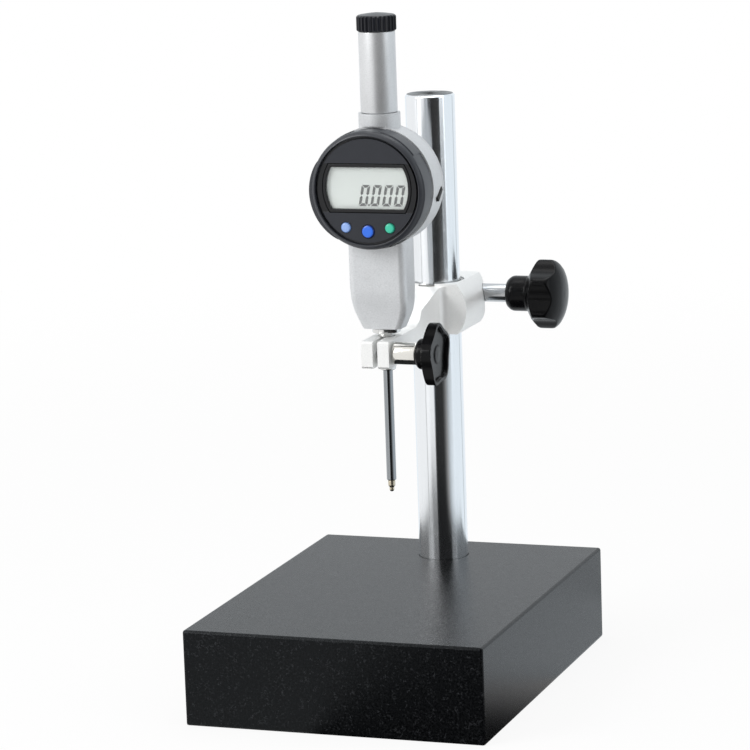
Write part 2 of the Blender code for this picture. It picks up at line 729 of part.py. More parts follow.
def make_clamp(plastic, steel, plated):
    """Screw, collar and small knob that close the block's slit on the stem."""
    collar_low = WEB_HALF_WIDTH + GAP
    collar_high = collar_low + CLAMP_COLLAR_LENGTH
    bore = CLAMP_SCREW_RADIUS + GAP
    collar = tube(
        "clamp_collar", "X", bore, CLAMP_COLLAR_RADIUS, collar_low, collar_high, SMALL_STEPS, plated
    )
    knob_low = collar_high + GAP
    screw = rod(
        "clamp_screw",
        "X",
        CLAMP_SCREW_RADIUS,
        -WEB_HALF_WIDTH,
        knob_low + CLAMP_SCREW_IN_KNOB,
        SMALL_STEPS,
        steel,
    )
    star_low = knob_low + CLAMP_HUB_LENGTH
    star_high = star_low + CLAMP_STAR_THICKNESS
    star = CLAMP_STAR_RADIUS
    rim = star - CLAMP_RIM
    knob_rings = [(bore, star, knob_low + CLAMP_SCREW_IN_KNOB + GAP), (bore, star, knob_low)]
    for width, length in CLAMP_HUB_SHARES:
        knob_rings.append((CLAMP_HUB_RADIUS * width, star, knob_low + CLAMP_HUB_LENGTH * length))
    for width, height in CLAMP_STAR_SHARES:
        knob_rings.append((star * width, star, star_low + CLAMP_STAR_THICKNESS * height))
    knob_rings += [(rim, rim, star_high), (rim, rim, star_high - CLAMP_DISH)]
    rings = [
        star_ring(outer, edge, CLAMP_VALLEY, CLAMP_LOBES, CLAMP_FIRST_LOBE, height)
        for outer, edge, height in knob_rings
    ]
    knob = loft("clamp_knob", "X", rings, plastic)
    for piece in (collar, screw, knob):
        at(piece, y=CLAMP_Y, z=CLAMP_Z)
    return collar, screw, knob


def body_rings():
    """Sections of the lower body, straight above the shoulder and drawn in below it."""
    inside = HEAD_Z - HEAD_RADIUS / 2
    sections = [(inside, 1, 1), (BODY_SHOULDER_Z, 1, 1)]
    for drop, width, ahead in BODY_TAPER_SHARES:
        sections.append((BODY_SHOULDER_Z - (BODY_SHOULDER_Z - BODY_BOTTOM_Z) * drop, width, ahead))

    def between(foot, full, share):
        return foot + (full - foot) * share

    rings = []
    for height, width, ahead in sections:
        outline = rounded_outline(
            between(BODY_FOOT_HALF_WIDTH, BODY_HALF_WIDTH, width),
            STEM_Y - between(BODY_FOOT_AHEAD, BODY_AHEAD, ahead),
            STEM_Y + between(BODY_FOOT_BEHIND, BODY_BEHIND, width),
            between(BODY_FOOT_CORNER, BODY_CORNER, width),
        )
        rings.append([(x, y, height) for x, y in outline])
    return rings


def screw_places():
    step = 2 * math.pi / SCREW_COUNT
    return [
        (SCREW_CIRCLE * math.cos(step * (i + 0.5)), SCREW_CIRCLE * math.sin(step * (i + 0.5)))
        for i in range(SCREW_COUNT)
    ]


def port_block(name, near, far, shrink, finish=None):
    """A slanted block through the housing's side wall, where the data port is."""
    half_length = PORT_LENGTH / 2 - shrink
    half_width = PORT_WIDTH / 2 - shrink
    piece = block(name, (near, -half_width, -half_length), (far, half_width, half_length), finish)
    piece.rotation_euler = (-PORT_SLANT, 0, 0)
    return at(piece, y=CASE_FRONT_Y + PORT_BEHIND_FACE, z=HEAD_Z - PORT_DROP)


def make_case(finish):
    """Housing in one casting: round head open to the rear, body with its well, and neck."""
    case = rod("gauge_case", "Y", CASE_RADIUS, CASE_FRONT_Y, CASE_BACK_Y, FINE_STEPS, finish)
    at(case, z=HEAD_Z)
    body = loft("body_form", "Z", body_rings(), None)
    neck = at(rod("neck_form", "Z", NECK_RADIUS, NECK_ROOT_Z, NECK_TOP_Z, ROUND_STEPS), y=STEM_Y)
    join(case, body, neck)
    sweep = HEAD_RADIUS + TRAY_PROUD + GAP
    face_room = rod("face_room_cut", "Y", sweep, RIM_Y - OVERRUN, CASE_FRONT_Y, FINE_STEPS)
    cavity = rod("cavity_cut", "Y", CAVITY_RADIUS, CASE_FLOOR_Y, CASE_BACK_Y + OVERRUN, FINE_STEPS)
    pivot_hole = rod(
        "pivot_hole_cut", "Y", HUB_PIVOT_RADIUS + GAP, CASE_FRONT_Y - OVERRUN, CASE_FLOOR_Y + OVERRUN
    )
    cover_room = rod("cover_room_cut", "Y", CASE_RADIUS + GAP, CASE_BACK_Y, CASE_BACK_Y + NECK_RADIUS, FINE_STEPS)
    for helper in (face_room, cavity, pivot_hole, cover_room):
        at(helper, z=HEAD_Z)
    well = block(
        "well_cut",
        (-WELL_HALF_WIDTH, STEM_Y - WELL_AHEAD, WELL_FLOOR_Z),
        (WELL_HALF_WIDTH, STEM_Y + BODY_BEHIND - BODY_WALL, HEAD_Z - HEAD_RADIUS / 2),
    )
    cut(case, face_room, cover_room, cavity, well, pivot_hole)
    boss_near = CASE_FLOOR_Y - CASE_FRONT_WALL / 2
    for number, (x, z) in enumerate(screw_places(), 1):
        boss = rod(f"boss_form_{number}", "Y", SCREW_BOSS_RADIUS, boss_near, CASE_BACK_Y)
        join(case, at(boss, x=x, z=HEAD_Z + z))
    for number, (x, z) in enumerate(screw_places(), 1):
        hole = rod(
            f"screw_hole_cut_{number}", "Y", SCREW_RADIUS + GAP, CASE_BACK_Y - SCREW_LENGTH, CASE_BACK_Y + OVERRUN
        )
        cut(case, at(hole, x=x, z=HEAD_Z + z))
    spindle_bore = rod("spindle_bore_cut", "Z", BORE_RADIUS, BODY_BOTTOM_Z - OVERRUN, NECK_TOP_Z)
    stem_socket = rod(
        "stem_socket_cut", "Z", STEM_RADIUS + GAP, BODY_BOTTOM_Z - OVERRUN, BODY_BOTTOM_Z + STEM_SOCKET
    )
    bush_seat = rod(
        "bush_seat_cut", "Z", BUSH_RADIUS + GAP, BUSH_Z, NECK_TOP_Z + OVERRUN
    )
    tube_socket = rod(
        "tube_socket_cut",
        "Z",
        TUBE_SOCKET_RADIUS + GAP,
        NECK_TOP_Z - TUBE_SOCKET,
        NECK_TOP_Z + OVERRUN,
        ROUND_STEPS,
    )
    for helper in (spindle_bore, stem_socket, bush_seat, tube_socket):
        at(helper, y=STEM_Y)
    rod_hole = rod(
        "rod_hole_cut", "Z", GUIDE_ROD_RADIUS + GAP, WELL_FLOOR_Z - GUIDE_ROD_SEAT, WELL_FLOOR_Z + OVERRUN
    )
    at(rod_hole, x=GUIDE_ROD_X, y=STEM_Y)
    cut(case, spindle_bore, stem_socket, bush_seat, tube_socket, rod_hole)
    cut(case, port_block("port_slot_cut", CAVITY_RADIUS - OVERRUN, CASE_RADIUS + OVERRUN, 0))
    return case


def make_case_parts(paint, plastic, steel, brass, rubber):
    """What is fixed to the housing from outside: cover, screws, stem, tube, cap and port plug."""
    cover = rod("back_cover", "Y", CASE_RADIUS, COVER_Y, COVER_Y + COVER_THICKNESS, FINE_STEPS, paint)
    at(cover, z=HEAD_Z)
    pieces = [cover]
    head_low = COVER_Y + COVER_THICKNESS + GAP
    head_high = head_low + SCREW_HEAD_HEIGHT
    for number, (x, z) in enumerate(screw_places(), 1):
        hole = rod(
            f"cover_hole_cut_{number}", "Y", SCREW_RADIUS + GAP, COVER_Y - OVERRUN, COVER_Y + COVER_THICKNESS + OVERRUN
        )
        cut(cover, at(hole, x=x, z=HEAD_Z + z))
        profile = [
            (0, CASE_BACK_Y - SCREW_LENGTH + GAP),
            (SCREW_RADIUS, CASE_BACK_Y - SCREW_LENGTH + GAP),
            (SCREW_RADIUS, head_low),
            (SCREW_HEAD_RADIUS, head_low),
            (SCREW_HEAD_RADIUS, head_high - SCREW_RECESS_DEPTH / 2),
            (SCREW_HEAD_RADIUS - SCREW_RECESS_DEPTH, head_high),
            (SCREW_RECESS_RADIUS, head_high),
            (SCREW_RECESS_RADIUS, head_high - SCREW_RECESS_DEPTH),
            (0, head_high - SCREW_RECESS_DEPTH),
        ]
        screw = turned(f"cover_screw_{number}", "Y", profile, 12, steel)
        pieces.append(at(screw, x=x, z=HEAD_Z + z))
    stem = turned(
        "stem",
        "Z",
        [
            (STEM_RADIUS, STEM_BOTTOM_Z + GAP),
            (STEM_RADIUS, FLANGE_TOP_Z - STEM_FLANGE_HEIGHT),
            (STEM_FLANGE_RADIUS, FLANGE_TOP_Z - STEM_FLANGE_HEIGHT),
            (STEM_FLANGE_RADIUS, FLANGE_TOP_Z),
            (STEM_RADIUS, FLANGE_TOP_Z),
            (STEM_RADIUS, BODY_BOTTOM_Z + STEM_SOCKET - GAP),
            (BORE_RADIUS, BODY_BOTTOM_Z + STEM_SOCKET - GAP),
            (BORE_RADIUS, STEM_BOTTOM_Z),
            (STEM_RADIUS - GAP, STEM_BOTTOM_Z),
        ],
        ROUND_STEPS,
        steel,
        hollow=True,
    )
    spigot_low = NECK_TOP_Z - TUBE_SOCKET + GAP
    shoulder = NECK_TOP_Z + GAP
    inner = TUBE_RADIUS - TUBE_WALL
    upper_tube = turned(
        "top_tube",
        "Z",
        [
            (TUBE_SOCKET_RADIUS, spigot_low),
            (TUBE_SOCKET_RADIUS, shoulder),
            (TUBE_RADIUS, shoulder),
            (TUBE_RADIUS, TUBE_TOP_Z),
            (inner, TUBE_TOP_Z),
            (inner, shoulder),
            (inner, spigot_low),
        ],
        ROUND_STEPS,
        paint,
        hollow=True,
    )
    bush_low = BUSH_Z + GAP
    bush = tube("upper_bush", "Z", BORE_RADIUS, BUSH_RADIUS, bush_low, bush_low + BUSH_LENGTH, SMALL_STEPS, brass)
    for piece in (stem, upper_tube, bush):
        at(piece, y=STEM_Y)
    plug = port_block("data_port", CAVITY_RADIUS, CASE_RADIUS + PORT_PROUD, GAP, rubber)
    return pieces + [stem, upper_tube, bush, make_cap(inner - GAP, plastic), plug]


def make_cap(spigot_radius, finish):
    """Fluted cap with a low peak, bored for the raised spindle."""
    steps = CAP_FLUTES * 3
    skirt_top = CAP_Z + CAP_HEIGHT - CAP_PEAK

    def fluted(radius, height, depth):
        ring = []
        for i in range(steps):
            angle = 2 * math.pi * i / steps
            reach = radius - (depth if i % 3 == 0 else 0)
            ring.append((reach * math.cos(angle), reach * math.sin(angle), height))
        return ring

    rings = [
        fluted(CAP_BORE_RADIUS, CAP_Z + CAP_BORE_DEPTH, 0),
        fluted(CAP_BORE_RADIUS, CAP_Z - CAP_SPIGOT, 0),
        fluted(spigot_radius, CAP_Z - CAP_SPIGOT, 0),
        fluted(spigot_radius, CAP_Z, 0),
        fluted(CAP_RADIUS, CAP_Z, CAP_FLUTE),
        fluted(CAP_RADIUS, skirt_top - CAP_FLUTE, CAP_FLUTE),
        fluted(CAP_RADIUS - CAP_FLUTE, skirt_top, CAP_FLUTE / 2),
        [(0, 0, CAP_Z + CAP_HEIGHT)],
    ]
    return at(loft("tube_cap", "Z", rings, finish), y=STEM_Y)


def make_case_internals(steel, board, glass):
    """Guide rod, scale and main board."""
    guide = rod(
        "guide_rod",
        "Z",
        GUIDE_ROD_RADIUS,
        WELL_FLOOR_Z - GUIDE_ROD_SEAT + GAP,
        WELL_FLOOR_Z - GUIDE_ROD_SEAT + GUIDE_ROD_LENGTH,
        12,
        steel,
    )
    at(guide, x=GUIDE_ROD_X, y=STEM_Y)
    scale_far = WELL_HALF_WIDTH - GAP
    scale_low = WELL_FLOOR_Z + SCALE_RAISE
    scale = block(
        "scale_plate",
        (scale_far - SCALE_THICKNESS, STEM_Y - SCALE_HALF_DEPTH, scale_low),
        (scale_far, STEM_Y + SCALE_HALF_DEPTH, scale_low + SCALE_LENGTH),
        glass,
    )
    board_near = CASE_FLOOR_Y + GAP
    board_rise = CAVITY_RADIUS - MAIN_BOARD_END_INSET
    main_board = block(
        "main_board",
        (MAIN_BOARD_INSET - CAVITY_RADIUS, board_near, HEAD_Z - board_rise),
        (-MAIN_BOARD_NEAR_X, board_near + BOARD_THICKNESS, HEAD_Z + board_rise),
        board,
    )
    return [guide, scale, main_board]


def make_spindle(steel, brass, plastic, board):
    """Spindle, contact point, carrier and the plate that the scale senses, which move together."""
    top = SPINDLE_BOTTOM_Z + SPINDLE_LENGTH
    hole = CONTACT_SHANK_RADIUS + GAP
    spindle = turned(
        "spindle",
        "Z",
        [
            (hole, SPINDLE_BOTTOM_Z),
            (SPINDLE_RADIUS - GAP, SPINDLE_BOTTOM_Z),
            (SPINDLE_RADIUS, SPINDLE_BOTTOM_Z + GAP),
            (SPINDLE_RADIUS, top - GAP),
            (SPINDLE_RADIUS - GAP, top),
            (0, top),
            (0, SPINDLE_BOTTOM_Z + CONTACT_SHANK_LENGTH),
            (hole, SPINDLE_BOTTOM_Z + CONTACT_SHANK_LENGTH),
        ],
        SMALL_STEPS,
        steel,
        hollow=True,
    )
    tip = SPINDLE_BOTTOM_Z - CONTACT_LENGTH
    collar = SPINDLE_BOTTOM_Z - GAP
    ball = tip + CONTACT_BALL_RADIUS
    taper_start, taper_end = CONTACT_TAPER_SHARES
    profile = [
        (0, SPINDLE_BOTTOM_Z + CONTACT_SHANK_LENGTH - GAP),
        (CONTACT_SHANK_RADIUS, SPINDLE_BOTTOM_Z + CONTACT_SHANK_LENGTH - GAP),
        (CONTACT_SHANK_RADIUS, collar),
        (CONTACT_RADIUS, collar),
        (CONTACT_RADIUS, collar - CONTACT_LENGTH * taper_start),
        (CONTACT_BALL_RADIUS, collar - CONTACT_LENGTH * taper_end),
        (CONTACT_BALL_RADIUS, ball),
    ]
    ball_steps = 4
    for i in range(1, ball_steps):
        angle = math.pi / 2 * i / ball_steps
        profile.append((CONTACT_BALL_RADIUS * math.cos(angle), ball - CONTACT_BALL_RADIUS * math.sin(angle)))
    profile.append((0, tip))
    contact = turned("contact_point", "Z", profile, SMALL_STEPS, brass)
    ring = SPINDLE_RADIUS + GAP + CARRIER_WALL
    carrier_top = CARRIER_Z + CARRIER_HEIGHT
    carrier = block(
        "spindle_carrier",
        (GUIDE_ROD_X - CARRIER_HALF_DEPTH, -CARRIER_HALF_DEPTH, CARRIER_Z),
        (CARRIER_REACH, CARRIER_HALF_DEPTH, carrier_top),
        plastic,
    )
    round_part = rod("carrier_ring_form", "Z", ring, CARRIER_Z, carrier_top)
    spindle_hole = rod("carrier_hole_cut", "Z", SPINDLE_RADIUS + GAP, CARRIER_Z - OVERRUN, carrier_top + OVERRUN)
    rod_hole = rod("carrier_rod_cut", "Z", GUIDE_ROD_RADIUS + GAP, CARRIER_Z - OVERRUN, carrier_top + OVERRUN, 12)
    for piece in (spindle, contact, carrier, round_part, spindle_hole):
        at(piece, y=STEM_Y)
    at(rod_hole, x=GUIDE_ROD_X, y=STEM_Y)
    join(carrier, round_part)
    cut(carrier, spindle_hole, rod_hole)
    plate_near = CARRIER_REACH + GAP
    plate = block(
        "pickup_plate",
        (plate_near, -PICKUP_HALF_DEPTH, CARRIER_Z),
        (plate_near + PICKUP_WIDTH, PICKUP_HALF_DEPTH, CARRIER_Z + PICKUP_HEIGHT),
        board,
    )
    at(plate, y=STEM_Y)
    return [spindle, contact, carrier, plate]


def make_spring(finish):
    """Return spring wound round the spindle between its carrier and the upper bush."""
    low = CARRIER_Z + CARRIER_HEIGHT + GAP + SPRING_WIRE_RADIUS
    high = BUSH_Z - SPRING_WIRE_RADIUS
    steps = SPRING_TURNS * SPRING_STEPS
    rings = []
    for i in range(steps + 1):
        angle = 2 * math.pi * i / SPRING_STEPS
        height = low + (high - low) * i / steps
        ring = []
        for j in range(SPRING_SIDES):
            side = 2 * math.pi * j / SPRING_SIDES
            reach = SPRING_RADIUS + SPRING_WIRE_RADIUS * math.cos(side)
            rise = SPRING_WIRE_RADIUS * math.sin(side)
            ring.append((reach * math.cos(angle), reach * math.sin(angle), height + rise))
        rings.append(ring)
    return at(loft("return_spring", "Z", rings, finish), y=STEM_Y)


def make_bezel(finish):
    """Turned cup that holds the display, with a hollow pivot through the housing's front wall."""
    mouth = HEAD_RADIUS - BEZEL_CHAMFER - BEZEL_RIM
    pivot_end = CASE_FLOOR_Y + HUB_PIVOT_REACH
    groove_near = CASE_FLOOR_Y + GAP
    groove_far = groove_near + CLIP_THICKNESS + GAP
    bend_width, bend_depth = BEZEL_CHAMFER_SHARES
    bezel = turned(
        "bezel",
        "Y",
        [
            (HEAD_RADIUS, BEZEL_BACK_Y),
            (HEAD_RADIUS, RIM_Y + BEZEL_CHAMFER),
            (HEAD_RADIUS - BEZEL_CHAMFER * bend_width, RIM_Y + BEZEL_CHAMFER * bend_depth),
            (HEAD_RADIUS - BEZEL_CHAMFER, RIM_Y),
            (mouth, RIM_Y + GAP),
            (mouth, PANEL_BACK_Y + GAP),
            (CUP_RADIUS, PANEL_BACK_Y + GAP),
            (CUP_RADIUS, CUP_FLOOR_Y),
            (HUB_PIVOT_BORE, CUP_FLOOR_Y),
            (HUB_PIVOT_BORE, pivot_end),
            (HUB_PIVOT_RADIUS, pivot_end),
            (HUB_PIVOT_RADIUS, groove_far),
            (HUB_PIVOT_RADIUS - CLIP_GROOVE, groove_far),
            (HUB_PIVOT_RADIUS - CLIP_GROOVE, groove_near),
            (HUB_PIVOT_RADIUS, groove_near),
            (HUB_PIVOT_RADIUS, BEZEL_BACK_Y),
        ],
        FINE_STEPS,
        finish,
        hollow=True,
    )
    at(bezel, z=HEAD_Z)
    slot_outline = tray_outline(CUP_RADIUS - OVERRUN, HEAD_RADIUS + OVERRUN, TRAY_HALF_WIDTH + GAP)
    slot = prism("tray_slot_cut", "Y", slot_outline, TRAY_FRONT_Y - GAP, TRAY_BACK_Y + GAP)
    cut(bezel, at(slot, z=HEAD_Z))
    return bezel


def tray_outline(inner, outer, half_width):
    """The tray seen from the front: straight sides, flat inner end and an outer end round the rim."""
    reach = math.asin(half_width / outer)
    outline = [(inner, -half_width)] + circle(outer, SIDE_ARC_STEPS, -reach, 2 * reach) + [(inner, half_width)]
    turn_x, turn_z = math.cos(TRAY_ANGLE), math.sin(TRAY_ANGLE)
    return [(u * turn_x - v * turn_z, u * turn_z + v * turn_x) for u, v in outline]


def make_tray(plastic, plated):
    """Battery tray that pulls out of the rim, with its cell."""
    inner = CELL_REACH - CELL_RADIUS - GAP - TRAY_INNER_WALL
    outline = tray_outline(inner, HEAD_RADIUS + TRAY_PROUD, TRAY_HALF_WIDTH)
    tray = prism("battery_tray", "Y", outline, TRAY_FRONT_Y, TRAY_BACK_Y, plastic)
    place = (CELL_REACH * math.cos(TRAY_ANGLE), CELL_REACH * math.sin(TRAY_ANGLE))
    seat_back = TRAY_BACK_Y - TRAY_FLOOR
    seat = rod("cell_seat_cut", "Y", CELL_RADIUS + GAP, TRAY_FRONT_Y - OVERRUN, seat_back, ROUND_STEPS)
    cell = rod("battery", "Y", CELL_RADIUS, seat_back - GAP - CELL_THICKNESS, seat_back - GAP, ROUND_STEPS, plated)
    for piece in (seat, cell):
        at(piece, x=place[0], z=HEAD_Z + place[1])
    cut(at(tray, z=HEAD_Z), seat)
    return tray, cell


def button_places():
    return (
        ("left_button", -SIDE_BUTTON_X, -SIDE_BUTTON_DROP, SIDE_BUTTON_RADIUS),
        ("centre_button", 0, -CENTRE_BUTTON_DROP, CENTRE_BUTTON_RADIUS),
        ("right_button", SIDE_BUTTON_X, -SIDE_BUTTON_DROP, SIDE_BUTTON_RADIUS),
    )


def make_display(plastic, frame_finish, glass, screen, board, steel):
    """What the bezel holds: panel, window, display, board with its key switches, and clip."""
    panel = rod("face_panel", "Y", PANEL_RADIUS, PANEL_Y, PANEL_BACK_Y, FINE_STEPS, plastic)
    at(panel, z=HEAD_Z)
    near, far = PANEL_Y - OVERRUN, PANEL_BACK_Y + OVERRUN
    frame_radius = WINDOW_RADIUS + WINDOW_BORDER
    frame_half = WINDOW_HALF_HEIGHT + WINDOW_BORDER
    opening = prism("panel_window_cut", "Y", clipped_circle(frame_radius + GAP, frame_half + GAP), near, far)
    cut(panel, at(opening, z=WINDOW_Z))
    for name, x, z, radius in button_places():
        hole = rod(f"{name}_hole_cut", "Y", radius + GAP, near, far)
        cut(panel, at(hole, x=x, z=HEAD_Z + z))
    frame_near = PANEL_Y
    frame = prism(
        "window_frame", "Y", clipped_circle(frame_radius, frame_half), frame_near, PANEL_BACK_Y, frame_finish
    )
    glass_room = prism(
        "frame_window_cut", "Y", clipped_circle(WINDOW_RADIUS + GAP, WINDOW_HALF_HEIGHT + GAP), near, far
    )
    lens_far = PANEL_BACK_Y - GAP / 2
    lens = prism(
        "window_lens",
        "Y",
        clipped_circle(WINDOW_RADIUS, WINDOW_HALF_HEIGHT),
        lens_far - LENS_THICKNESS,
        lens_far,
        glass,
    )
    for piece in (frame, glass_room, lens):
        at(piece, z=WINDOW_Z)
    cut(frame, glass_room)
    lcd_far = LCD_Y + LCD_THICKNESS
    lcd_outline = clipped_circle(WINDOW_RADIUS + LCD_BORDER, WINDOW_HALF_HEIGHT + LCD_BORDER)
    lcd = at(prism("lcd_module", "Y", lcd_outline, LCD_Y, lcd_far, screen), z=WINDOW_Z)
    board_near = lcd_far + GAP
    display_board = rod(
        "display_board", "Y", CUP_RADIUS - GAP, board_near, board_near + BOARD_THICKNESS, ROUND_STEPS, board
    )
    for name, x, z, _ in button_places():
        switch = rod(f"{name}_switch_form", "Y", SWITCH_RADIUS, board_near - SWITCH_HEIGHT, board_near + GAP, 12)
        join(display_board, at(switch, x=x, z=HEAD_Z + z))
    clip_inner = HUB_PIVOT_RADIUS - CLIP_GROOVE + GAP
    clip_gap = math.asin(HUB_PIVOT_BORE / CLIP_RADIUS)
    turn = 2 * math.pi - 2 * clip_gap
    clip_outline = circle(CLIP_RADIUS, SMALL_STEPS, clip_gap, turn)
    clip_outline += reversed(circle(clip_inner, SMALL_STEPS, clip_gap, turn))
    clip_near = CASE_FLOOR_Y + GAP + GAP / 2
    clip = prism("face_clip", "Y", clip_outline, clip_near, clip_near + CLIP_THICKNESS, steel)
    for piece in (display_board, clip):
        at(piece, z=HEAD_Z)
    return [panel, frame, lens, lcd, display_board, clip]


def make_button(name, x, z, radius, finish):
    """Round key with a flange that rests behind the panel."""
    flange_near = PANEL_BACK_Y + GAP
    top = PANEL_Y - BUTTON_PROUD
    profile = [
        (0, flange_near + BUTTON_FLANGE_THICKNESS),
        (radius + BUTTON_FLANGE, flange_near + BUTTON_FLANGE_THICKNESS),
        (radius + BUTTON_FLANGE, flange_near),
        (radius, flange_near),
        (radius, top + BUTTON_ROUNDING),
        (radius - BUTTON_ROUNDING, top),
        (0, top),
    ]
    return at(turned(name, "Y", profile, SMALL_STEPS, finish), x=x, z=HEAD_Z + z)


def main():
    clear_scene()
    stone = make_finish("granite", (0.045, 0.045, 0.047), 0.45, 0)
    chrome = make_finish("chrome", (0.78, 0.79, 0.8), 0.08, 1)
    steel = make_finish("steel", (0.6, 0.6, 0.6), 0.3, 1)
    nickel = make_finish("nickel", (0.72, 0.68, 0.6), 0.2, 1)
    satin = make_finish("satin_aluminium", (0.78, 0.79, 0.79), 0.35, 1)
    paint = make_finish("silver_paint", (0.55, 0.56, 0.57), 0.5, 0.3)
    black = make_finish("black_plastic", (0.02, 0.02, 0.022), 0.3, 0)
    charcoal = make_finish("charcoal_plastic", (0.07, 0.07, 0.08), 0.45, 0)
    frame_black = make_finish("window_black", (0.02, 0.02, 0.022), 0.25, 0)
    brass = make_finish("brass", (0.7, 0.55, 0.35), 0.3, 1)
    rubber = make_finish("rubber", (0.03, 0.03, 0.03), 0.7, 0)
    board = make_finish("circuit_board", (0.03, 0.16, 0.07), 0.5, 0)
    glass = make_finish("glass", (0.85, 0.88, 0.87), 0.05, 0)
    screen = make_finish("screen", (0.66, 0.7, 0.64), 0.4, 0)
    pale_blue = make_finish("pale_blue_key", (0.4, 0.55, 0.85), 0.4, 0)
    blue = make_finish("blue_key", (0.02, 0.2, 0.8), 0.4, 0)
    green = make_finish("green_key", (0.05, 0.6, 0.4), 0.4, 0)

    sleeve_slide = pivot("arm_height_axis", (0, COLUMN_Y, HUB_Z))
    swing = pivot("arm_swing_axis", (0, COLUMN_Y, HUB_Z), sleeve_slide)
    lock_slide = pivot("lock_travel_axis", (0, LOCK_Y, LOCK_Z), swing)
    lock_turn = pivot("lock_turn_axis", (0, LOCK_Y, LOCK_Z), lock_slide)
    clamp_slide = pivot("clamp_travel_axis", (0, CLAMP_Y, CLAMP_Z), swing)
    clamp_turn = pivot("clamp_turn_axis", (0, CLAMP_Y, CLAMP_Z), clamp_slide)
    gauge_turn = pivot("gauge_turn_axis", (0, STEM_Y, HEAD_Z), swing)
    face_turn = pivot("face_turn_axis", (0, RIM_Y, HEAD_Z), gauge_turn)
    tray_slide = pivot("tray_slide_axis", (0, TRAY_BACK_Y, HEAD_Z), face_turn)
    spindle_slide = pivot("spindle_slide_axis", (0, STEM_Y, SPINDLE_BOTTOM_Z), gauge_turn)

    make_base(stone)
    make_column(steel, chrome)
    carry(sleeve_slide, make_sleeve(brass))
    carry(swing, make_arm(satin))
    spacer, stud, lock_knob = make_lock(black, steel, chrome)
    carry(lock_slide, spacer)
    carry(lock_turn, stud, lock_knob)
    collar, screw, clamp_knob = make_clamp(black, steel, nickel)
    carry(clamp_slide, collar)
    carry(clamp_turn, screw, clamp_knob)
    carry(gauge_turn, make_case(paint), *make_case_parts(paint, black, steel, brass, rubber))
    carry(gauge_turn, *make_case_internals(steel, board, glass))
    carry(spindle_slide, *make_spindle(steel, brass, black, board), make_spring(steel))
    carry(face_turn, make_bezel(charcoal))
    carry(face_turn, *make_display(charcoal, frame_black, glass, screen, board, steel))
    carry(tray_slide, *make_tray(black, chrome))
    for (name, x, z, radius), finish in zip(button_places(), (pale_blue, blue, green)):
        press = pivot(f"{name}_axis", (x, PANEL_Y, HEAD_Z + z), face_turn)
        carry(press, make_button(name, x, z, radius, finish))


main()
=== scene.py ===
import math

import bmesh
import bpy
from mathutils import Matrix, Vector


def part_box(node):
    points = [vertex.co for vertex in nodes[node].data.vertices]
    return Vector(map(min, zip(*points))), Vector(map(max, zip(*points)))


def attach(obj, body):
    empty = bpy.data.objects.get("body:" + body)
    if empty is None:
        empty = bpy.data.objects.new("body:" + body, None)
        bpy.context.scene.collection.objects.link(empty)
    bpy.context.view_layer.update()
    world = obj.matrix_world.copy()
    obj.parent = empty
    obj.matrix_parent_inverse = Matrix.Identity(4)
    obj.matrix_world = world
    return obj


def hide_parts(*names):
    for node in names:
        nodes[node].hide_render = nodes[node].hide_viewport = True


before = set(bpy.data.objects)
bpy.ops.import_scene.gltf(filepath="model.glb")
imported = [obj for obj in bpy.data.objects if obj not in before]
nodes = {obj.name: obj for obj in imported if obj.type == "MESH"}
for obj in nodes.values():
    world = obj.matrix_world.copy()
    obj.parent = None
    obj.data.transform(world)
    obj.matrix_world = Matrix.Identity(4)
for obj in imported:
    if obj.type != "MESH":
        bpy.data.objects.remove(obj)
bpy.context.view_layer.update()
mm = 0.001  # lengths below are written in millimetres and made metres by the builders
# a point on the axis of each turned group of pieces
axes = {
    "column": (0, 70, 0), "gauge": (0, -6, 0), "lock": (0, 90, 180), "clamp": (0, -16, 168),
    "head": (0, 0, 248.6),
}
print("model loaded:", len(nodes), "nodes")

# Camera at the photograph's place
camera = {
    "place": (0.574576, -1.620101, 0.484953),
    "right": (0.942479, 0.332552, -0.033791),
    "down": (0.031613, -0.189318, -0.981407),
    "forward": (-0.332766, 0.923888, -0.188941),
    "lens": 171.99,
    "clip": (0.05, 50),
}


def addCamera():
    lens = bpy.data.cameras.new("photoLens")
    lens.lens = camera["lens"]
    lens.clip_start, lens.clip_end = camera["clip"]
    holder = bpy.data.objects.new("photoCamera", lens)
    bpy.context.scene.collection.objects.link(holder)
    right, down, forward = (Vector(camera[way]) for way in ("right", "down", "forward"))
    turn = Matrix((right, -down, -forward)).transposed()
    holder.matrix_world = Matrix.Translation(camera["place"]) @ turn.to_4x4()
    bpy.context.scene.camera = holder


# a node's lowest and highest place along an axis, in millimetres
def span(node, letter):
    low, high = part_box(node)
    return low["XYZ".index(letter)] / mm, high["XYZ".index(letter)] / mm


def plug(tree, slot, item):
    if isinstance(item, Value):
        tree.links.new(item.socket, slot)
    elif slot.type == "RGBA" and len(item) == 3:
        slot.default_value = (*item, 1)
    else:
        slot.default_value = item


